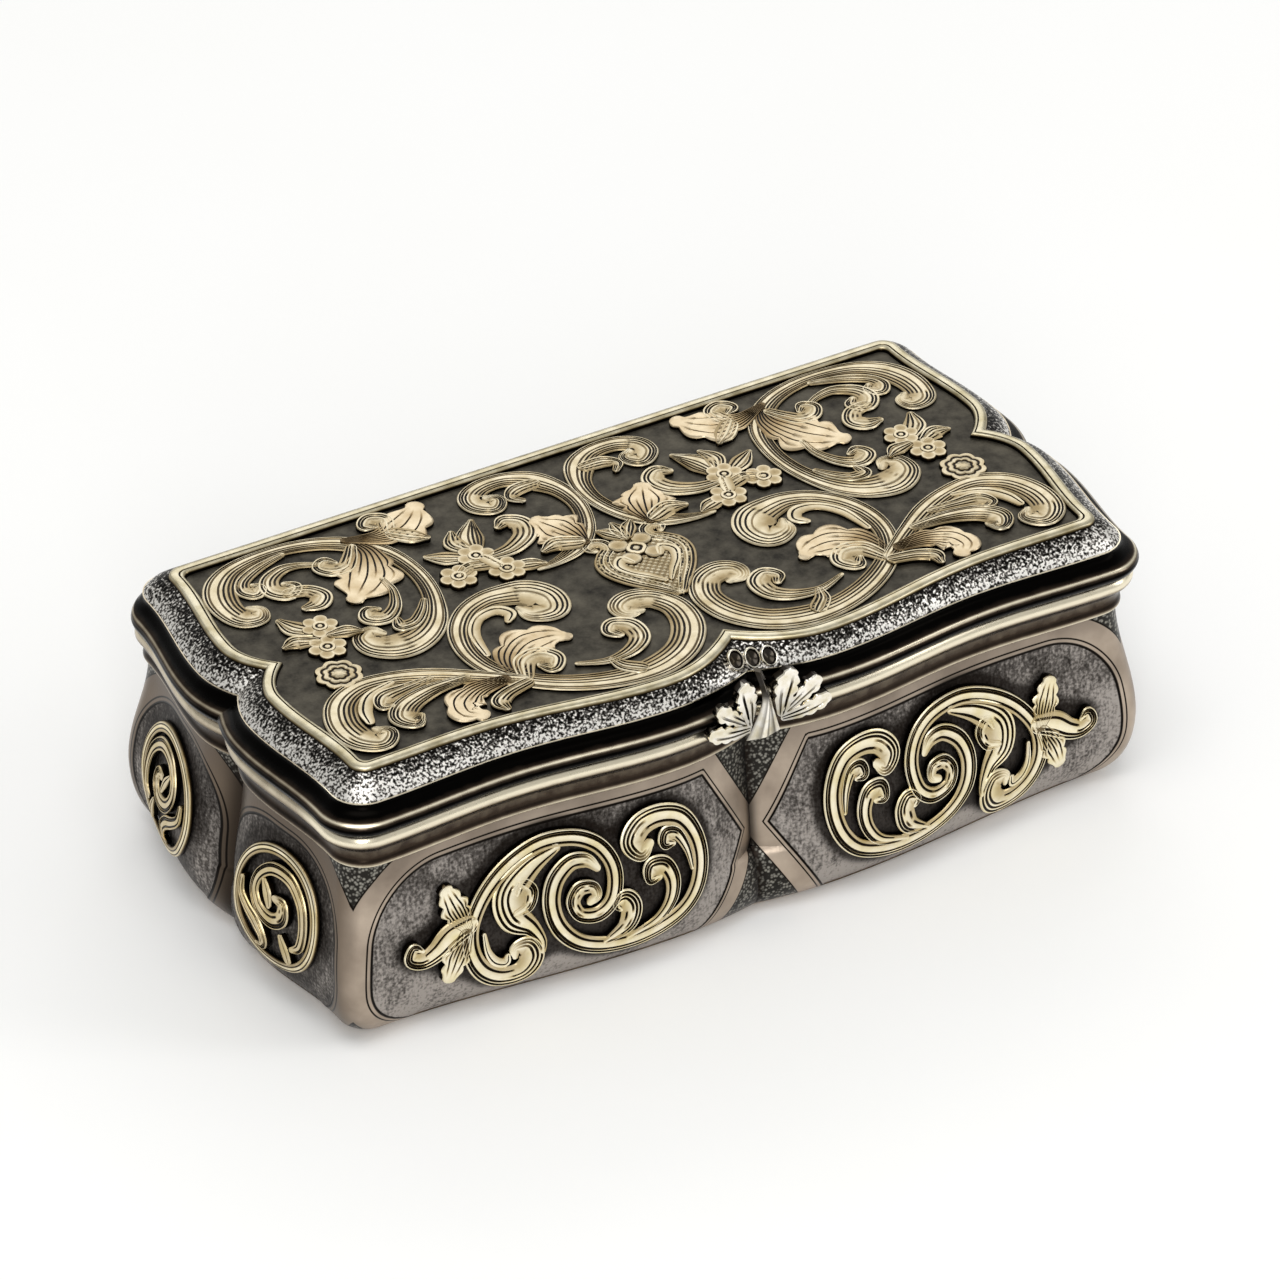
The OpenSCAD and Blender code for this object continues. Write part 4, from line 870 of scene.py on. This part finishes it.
front_strokes = [
    [[-14.4, -3.4, 0.4], [-13.8, -4.6, 1.1], [-12.1, -4.7, 1.7], [-11.6, -3, 1.8], [-12.6, -1.4, 1.8],
     [-14.4, -0.7, 1.5], [-16.6, -0.5, 1.2], [-19, -1.5, 1.1], [-21, -3.8, 1.1], [-22, -6.8, 1.0],
     [-21.8, -9.9, 0.9], [-20.4, -12.8, 0.9], [-18.2, -15, 1.0], [-15, -16.9, 1.1], [-11.3, -18, 1.2],
     [-7.7, -17.9, 1.4], [-4.5, -16.5, 1.4], [-2.3, -13.8, 1.4], [-1.7, -10.7, 1.3], [-2.8, -8.3, 1.3],
     [-4.6, -7.5, 1.4], [-5.9, -8, 1.3], [-6, -9, 1.0], [-4.9, -9.4, 0.4]],
    [[-20.8, -8.4, 0.3], [-20.2, -5, 0.5], [-18.6, -2.9, 0.5], [-16.6, -2.5, 0.6], [-15.7, -3.6, 0.6],
     [-16.4, -4.6, 0.3]],
    [[-20.2, -12.8, 0.4], [-18.9, -10.3, 1.7], [-16.7, -8.8, 2.2], [-14.4, -8.8, 1.5], [-13, -9.6, 0.5]],
    [[-19.4, -13.2, 0.7], [-18.4, -11.2, 1.0], [-16.7, -10.8, 1.0], [-15.7, -12, 0.9], [-16.6, -13.2, 0.8],
     [-17.3, -12.5, 0.4]],
    [[-8.6, -11.9, 0.4], [-9.1, -11, 0.7], [-8.2, -10.2, 0.9], [-7, -11.2, 1.0], [-7.2, -13.2, 0.9],
     [-9, -14.6, 0.7], [-11.6, -15, 0.4], [-14.4, -14, 0.2]],
    [[-11.2, -15.2, 0.4], [-10.8, -16.4, 0.7], [-9.8, -17.4, 0.8]],
    [[-20.2, -13.6, 0.7], [-23.6, -11.1, 0.9], [-27.2, -8.8, 1.1], [-30.6, -7.4, 1.0], [-33.8, -7.2, 1.1],
     [-36.4, -8.7, 1.3], [-37.7, -11.5, 1.4], [-37.5, -14.2, 1.4], [-36.1, -15.6, 1.2], [-34.9, -14.7, 0.9],
     [-35.5, -13.8, 0.4]],
    [[-30.8, -8, 0.3], [-33.4, -8.8, 0.5], [-34.9, -10.6, 0.6], [-35.4, -12.4, 0.4]],
    [[-27.4, -9.2, 0.4], [-30, -9.4, 0.6], [-32.3, -9.7, 0.9], [-33.2, -10.8, 0.6], [-32.5, -11.2, 0.3]],
    [[-24.6, -10.8, 0.5], [-28, -10.9, 0.8], [-31, -11.8, 1.1], [-32.4, -13.3, 1.2], [-31.8, -14.6, 0.8],
     [-31, -14, 0.4]],
    [[-21.6, -12.9, 0.6], [-24.4, -13, 1.1], [-26.4, -14.1, 1.6], [-26.9, -15.6, 1.4], [-26.2, -16.6, 0.8]],
    [[-20, -14.4, 0.6], [-22.2, -14.9, 0.7], [-23.6, -15.8, 0.8], [-23.6, -16.9, 0.4]]]


def on_lid(plan, height, rise):
    """Points of a plan on the plaque, at a share of a rise above it."""
    return np.dstack([plan, plaque_top + height * rise])


def laid(strokes, side):
    """Strips laid on the plaque, each a little higher than those before it."""
    shells = []
    for k, points in enumerate(strokes):
        plan, height, cut = strip(points, fine=True)
        rise = scroll_t - 0.2 + 0.2 * (k + 1) / len(strokes)
        rose = 0.5 if is_leaf(points) else 0.2
        shells.append(shell(on_lid(plan * [-side, 1], height, rise), capped=True, cut=cut, rose=rose))
    return shells


for strokes, name in ((corner_strokes, "corner"), (crest_strokes, "crest"), (front_strokes, "front")):
    for sides, side in both_sides:
        build(
            f"{name}_gilt_scroll_{side}", laid(strokes, sides),
            gilts["chased_gilt"], "lid", "applied_gilt", f"{name}_scroll_{side}")

# Flower sprays. Six-petalled flowers with a ring in the middle, a rosette, and small leaves are cut from the
# same gilt sheet and chased with a ring punch.
inner_flowers = [[-13.7, 6.2, 2.0], [-16.8, 4, 2.0], [-12.2, 2.9, 2.0]]
inner_leaves = [
    [[-13.2, 7.4, 0.8], [-12.6, 9.4, 1.2], [-11.2, 11.6, 0.3]],
    [[-13.8, 7.6, 0.6], [-14.4, 9.2, 0.9], [-13.8, 10.8, 0.3]],
    [[-15, 6.6, 0.6], [-16.4, 7.4, 0.9], [-17.8, 8.4, 0.3]],
    [[-11.4, 2.8, 0.6], [-9.8, 2.4, 0.8], [-8.8, 1.9, 0.3]],
    [[-12.4, 5.4, 0.5], [-10.2, 5.6, 0.8], [-8, 6.9, 1.0], [-7.3, 8.8, 1.0], [-8.4, 9.9, 0.9],
     [-9.4, 9.4, 0.4]],
    [[-13, 4.2, 0.7], [-15, 4.8, 0.7], [-16, 4.4, 0.6]],
    [[-13.2, 5.2, 0.6], [-12.8, 3.9, 0.6]]]
end_flowers = [[-33, 0.1, 2.0], [-32, 3.4, 1.9], [-34.2, -4.3, 2.4]]
end_leaves = [
    [[-33, 3.2, 0.7], [-34.2, 4.4, 1.0], [-34.8, 6, 0.4]],
    [[-33.8, 1.6, 0.6], [-35.2, 2.2, 0.9], [-36.4, 2, 0.3]],
    [[-31.6, 1.6, 0.5], [-30.2, 1.4, 0.8], [-29.2, 0.8, 0.3]]]
petal_profile = [
    (1, -0.3, 1), (0.97, 0.4, 1), (0.88, 0.7, 0.8), (0.8, 0.85, 0), (0.5, 0.82, 0.2), (0.05, 0.82, 0.3)]
ring_profile = [
    (1, 0.2, 1), (0.97, 0.6, 1), (0.84, 0.8, 0.9), (0.76, 1, 0), (0.52, 1, 0), (0.44, 0.8, 1), (0.3, 0.8, 1),
    (0.24, 0.95, 0), (0.03, 1, 0)]
rosette_profile = [
    (1, -0.3, 1), (0.985, 0.5, 0.95), (0.95, 0.8, 0.1), (0.78, 0.85, 0), (0.73, 0.75, 0.9), (0.67, 0.75, 0.9),
    (0.61, 0.9, 0), (0.46, 0.95, 0.1), (0.41, 0.8, 0.9), (0.35, 0.8, 0.9), (0.29, 1, 0), (0.02, 1, 0)]


def disc(x, y, r, profile, lobes=0):
    """A chased disc of [share of radius, height, engraving] points, round or with a number of lobes."""
    turn = np.linspace(0, 2 * np.pi, 64, endpoint=False)
    share, height, cut = np.array(profile).T[:, :, None]
    r = r * (1 + 0.14 * (np.abs(np.cos(lobes * turn / 2)) - 1) * (lobes > 0))
    plan = np.dstack([x + r * share * np.cos(turn), y + r * share * np.sin(turn)])
    return shell(on_lid(plan, height + 0 * turn, scroll_t), capped=True, cut=cut + 0 * turn, rose=0.25)


def flower(x, y, r):
    """A rosette where r is over 2, and otherwise six petals round a ring."""
    if r > 2:
        return [disc(x, y, r, rosette_profile, lobes=8)]
    petals = [
        disc(x + 0.6 * r * math.cos(a), y + 0.6 * r * math.sin(a), 0.42 * r, petal_profile)
        for a in np.arange(6) * np.pi / 3]
    return [*petals, disc(x, y, 0.48 * r, ring_profile)]


for flowers, leaves, name in ((inner_flowers, inner_leaves, "inner"), (end_flowers, end_leaves, "end")):
    for sides, side in both_sides:
        blooms = [part for x, y, r in flowers for part in flower(-sides * x, y, r)]
        build(
            f"{name}_gilt_flowers_{side}", [*laid(leaves, sides), *blooms],
            gilts["chased_gilt"], "lid", "applied_gilt", f"{name}_flowers_{side}")

# Cartouche. A shield of gilt sheet in the middle, matted with dots, with double ribbons up its sides that
# curl at the shoulders, a diamond-hearted flower between the curls and a small crown of leaves.
cartouche_half = [
    [0, -9.2], [-1.1, -7.4], [-3, -5.2], [-4.5, -3], [-4.7, -1], [-3.5, 0.5], [-1.5, 0.9], [-1, 2.2],
    [0, 4.2]]
side_ribbons = [
    [[-0.3, -8.6, 0.4], [-1.5, -6.9, 0.6], [-3.1, -4.8, 0.7], [-4.1, -2.8, 0.7], [-4.1, -1.2, 0.7],
     [-3.4, 0, 0.6], [-2.4, 0.9, 0.6], [-2.4, 1.9, 0.6], [-3.2, 2.4, 0.6], [-3.9, 1.9, 0.5],
     [-3.6, 1.2, 0.3]],
    [[-0.3, -6.4, 0.2], [-1.3, -5, 0.35], [-2.4, -3.7, 0.4], [-2.9, -2.3, 0.5], [-2.2, -1.4, 0.5],
     [-1.6, -2.2, 0.3]]]
crown = [[[-0.4, 1.9, 0.5], [-1.1, 3, 0.7], [-1.7, 3.7, 0.3]]]
crown_tip = [[[0, 1.8, 0.5], [0, 3.2, 0.7], [0, 4.1, 0.3]]]
dot_pitch = 0.75
heart_y = -0.4
petal_off = 1.25
# Rows up the shield, with dots on a slanting grid
shield_rows = []
shield_cut = []
across = np.r_[1, 0.99, np.linspace(0.97, -0.97, 91), -0.99, -1]
for x, y in smooth(cartouche_half, 16)[1:-1]:
    t = across * max(-x, 0.05)
    one = ((t + y) / dot_pitch + 0.5) % 1 - 0.5
    two = ((t - y) / dot_pitch + 0.5) % 1 - 0.5
    dot = 1 - smoothstep(np.hypot(one, two), 0.25, 0.45)
    height = 0.5 + 0.15 * dot
    height[[0, -1]] = -0.3
    shield_rows.append(np.c_[t, 0 * t + y, plaque_top + height * scroll_t])
    shield_cut.append(0.42 - 0.4 * dot)
shield = shell(shield_rows, capped=True, cut=np.array(shield_cut), rose=0.2)
ribbons = [part for sides in (-1, 1) for part in laid([*side_ribbons, *crown], sides)]
petals = [
    disc(x, heart_y + y, 1.15, petal_profile)
    for x in (-petal_off, petal_off) for y in (-petal_off, petal_off)]
heart = disc(0, heart_y, 1.3, ring_profile, lobes=4)
build(
    "gilt_cartouche", [shield, *ribbons, *laid(crown_tip, 1), *petals, heart],
    gilts["chased_gilt"], "lid", "applied_gilt", "centre_cartouche")

# Thumbpiece. A cast silver-gilt spray soldered to the lid's bead: a keel, three cupped petals that lie on
# the bevel, and three lobed leaves on each side.
bead_b = 4.05
thumb_leaves = [
    [[1.7, -5.3, 0.5], [1.9, -3.8, 0.9], [2.2, -2.4, 1.1], [2.4, -1.7, 0.9]],
    [[2, -5.5, 0.4], [3.4, -4.3, 0.6], [4.6, -3.3, 0.8], [5, -2.9, 0.7]],
    [[2, -6, 0.4], [3.8, -5.7, 0.7], [5.2, -5.3, 0.8], [5.9, -5, 0.7]]]
leaf_relief = 0.7
cup_profile = [
    (0.02, 0), (0.9, 0), (1.08, 0.2), (1.15, 0.36), (1.12, 0.48), (1.04, 0.58), (0.95, 0.6), (0.88, 0.52),
    (0.75, 0.35), (0.4, 0.22), (0.02, 0.15)]
cup_tilt = math.radians(48)


def on_bead(s, z, out):
    """A point on the curtain just in front of the lid's bead."""
    u = np.abs(s) / (frame_l / 2 - 1)
    return np.stack([s, -frame_w / 2 - bead_b - lobe(u, front_peak, rim_front(bead_b)) - out, z], -1)


# Cast silver-gilt, polished by hand: bright cream on the crowns, dark between the leaves, with painted shade
# inside the cups, on the keel under them and in the creases between its facets.
cast_gilt, tree, surface, place = new_finish("cast_silver_gilt")
cut = add(tree, "Attribute", {}, attribute_name="cut").outputs["Fac"]
gleam = add(tree, "TexNoise", {"Vector": place, "Scale": 1 / (1.2 * MM), "Detail": 3}).outputs["Fac"]
cream = add(tree, "ValToRGB", {"Fac": gleam}, [(0.3, "#e2d7b8"), (0.6, "#fffaf0")]).outputs["Color"]
cream = add(tree, "Mix", {0: cut, 6: cream, 7: linear("#1d1610")}, data_type="RGBA").outputs[2]
rough = add(tree, "MapRange", {"Value": gleam, "To Min": 0.14, "To Max": 0.28}).outputs["Result"]
add(tree, surface, {"Base Color": cream, "Metallic": 1.0, "Roughness": rough})

for sides, side in both_sides:
    shells = []
    for k, points in enumerate(thumb_leaves):
        raised = [[x, frame_top + z, 1.06 * half] for x, z, half in points]
        plan, height, cut = strip(raised, lines=[(0.35, 0.8, 0.8), (-0.3, 1, 1)])
        out = solder_gap + height * (leaf_relief - 0.02 - 0.1 * (k % 2))
        shells.append(shell(on_bead(sides * plan[..., 0], plan[..., 1], out), capped=True, cut=cut))
    build(f"thumb_{side}_leaf_spray", shells, cast_gilt, "lid", "bright_gilt", f"thumb_{side}_leaves")

keel = []
turn = np.linspace(0, 2 * np.pi, 40, endpoint=False)
for step in (-1, 0, 1):
    r, up = np.array(cup_profile).T[:, :, None] * 0.98
    cup = np.dstack([0.75 * r * np.cos(turn), 0.95 * r * np.sin(turn), up + 0 * turn])
    forward = cup[..., 1] * math.cos(cup_tilt) - cup[..., 2] * math.sin(cup_tilt)
    upward = cup[..., 1] * math.sin(cup_tilt) + cup[..., 2] * math.cos(cup_tilt)
    foot = [0.4 + 1.5 * step, -20.5 - 0.5 * step, frame_top - 1]
    # Painted shade inside the cups
    hollow = np.where(r < 0.9, 0.97, 0) * (up > 0.1)
    keel.append(shell(np.dstack([cup[..., 0], forward, upward]) + foot, capped=True, cut=hollow + 0 * turn))
keel_path = smooth(
    [[0, -22.4, 28, 0.35], [0, -23.6, 26.8, 0.42], [0, -24.05, 25.4, 0.5], [-0.15, -24.1, 23.6, 1.1],
     [-0.35, -24.05, 21.75, 1.85]], 6)
# Facets across the keel, as [across, out, painted shade]: darker in the creases and on its sides
facets = [
    (1, 0.05, 0.2), (0.8, 0.15, 0.2), (0.66, 0.2, 0.85), (0.3, 0.37, 0.2), (0.16, 0.43, 0.8), (0.04, 0.47, 0),
    (-0.14, 0.45, 0), (-0.26, 0.4, 0.7), (-0.6, 0.23, 0.25), (-0.8, 0.15, 0.3), (-1, 0.05, 0.8),
    (-0.6, -0.35, 0), (0.6, -0.35, 0)]
keel_rows = [[[x + side * half, y - out, z] for side, out, _ in facets] for x, y, z, half in keel_path]
# Painted shade on the top of the keel, under the cups
keel_shade = 0.95 * smoothstep(keel_path[:, 2:3], 25, 26.2)
keel.append(shell(keel_rows, capped=True, cut=np.maximum(keel_shade, [facet_shade for _, _, facet_shade in facets])))
build("thumb_keel_and_cups", keel, cast_gilt, "lid", "bright_gilt", "thumb_keel", sharp=30)

# Studio. The box stands on a wide sheet of paper, with soft boxes above it and round it, and the camera where
# the photograph was taken. Matt paper: white and even, with soft shadows and no reflection.
sheet_paper, tree, surface, place = new_finish("matt_paper")
fibre = add(tree, "TexNoise", {"Vector": place, "Scale": 1 / (40 * MM), "Detail": 3}).outputs["Fac"]
pale = add(tree, "ValToRGB", {"Fac": fibre}, [(0.2, "#fefefd"), (0.8, "#ffffff")]).outputs["Color"]
add(tree, surface, {"Base Color": pale, "Roughness": 0.9})
floor_mesh = bpy.data.meshes.new("studio_floor")
reach = 4
floor_z = -0.1 * MM
corners = [(x, y, floor_z) for x, y in ((-reach, -reach), (reach, -reach), (reach, reach), (-reach, reach))]
floor_mesh.from_pydata(corners, [], [(0, 1, 2, 3)])
floor_mesh.materials.append(sheet_paper)
studio_floor = bpy.data.objects.new("studio_floor", floor_mesh)
bpy.context.scene.collection.objects.link(studio_floor)

# Soft boxes, as [name, place, width, depth, watts] in metres, each turned towards the box
soft_boxes = [
    ("overhead_box", (-0.15, -0.2, 0.95), 0.7, 0.5, 3.1),
    ("left_box", (-0.45, -0.8, 0.5), 0.3, 0.6, 3.0),
    ("right_box", (0.7, -0.5, 0.45), 0.25, 0.6, 1.4),
    ("back_box", (0.35, 0.8, 0.6), 0.9, 0.4, 1.6)]
for name, spot, width, depth, watts in soft_boxes:
    lamp = bpy.data.lights.new(name, "AREA")
    lamp.shape = "RECTANGLE"
    lamp.size = width
    lamp.size_y = depth
    lamp.energy = watts
    holder = bpy.data.objects.new(name, lamp)
    holder.location = spot
    toward = (cad_box[0] + cad_box[1]) / 2 - holder.location
    holder.rotation_euler = toward.to_track_quat("-Z", "Y").to_euler()
    bpy.context.scene.collection.objects.link(holder)
world = bpy.data.worlds.new("studio_room")
world.use_nodes = True
room = world.node_tree
add(room, room.nodes["Background"], {"Color": linear("#bcbcba"), "Strength": 1.0})
bpy.context.scene.world = world

# The camera's angles, distance and aim follow from the corners of the lid in the photograph
azimuth = math.radians(-30.66)
elevation = math.radians(34.72)
distance = 693.75
aim = np.array([-7.614, -13.92, 29.0])
back = np.array([
    math.sin(azimuth) * math.cos(elevation), -math.cos(azimuth) * math.cos(elevation), math.sin(elevation)])
lens = bpy.data.cameras.new("camera")
lens.sensor_width = 36
lens.lens = 210.1
lens.clip_start = 0.01
camera = bpy.data.objects.new("camera", lens)
camera.location = (aim + back * distance) * MM
camera.rotation_euler = (math.pi / 2 - elevation, 0, azimuth)
bpy.context.scene.collection.objects.link(camera)
bpy.context.scene.camera = camera
bpy.context.scene.view_settings.view_transform = "Standard"
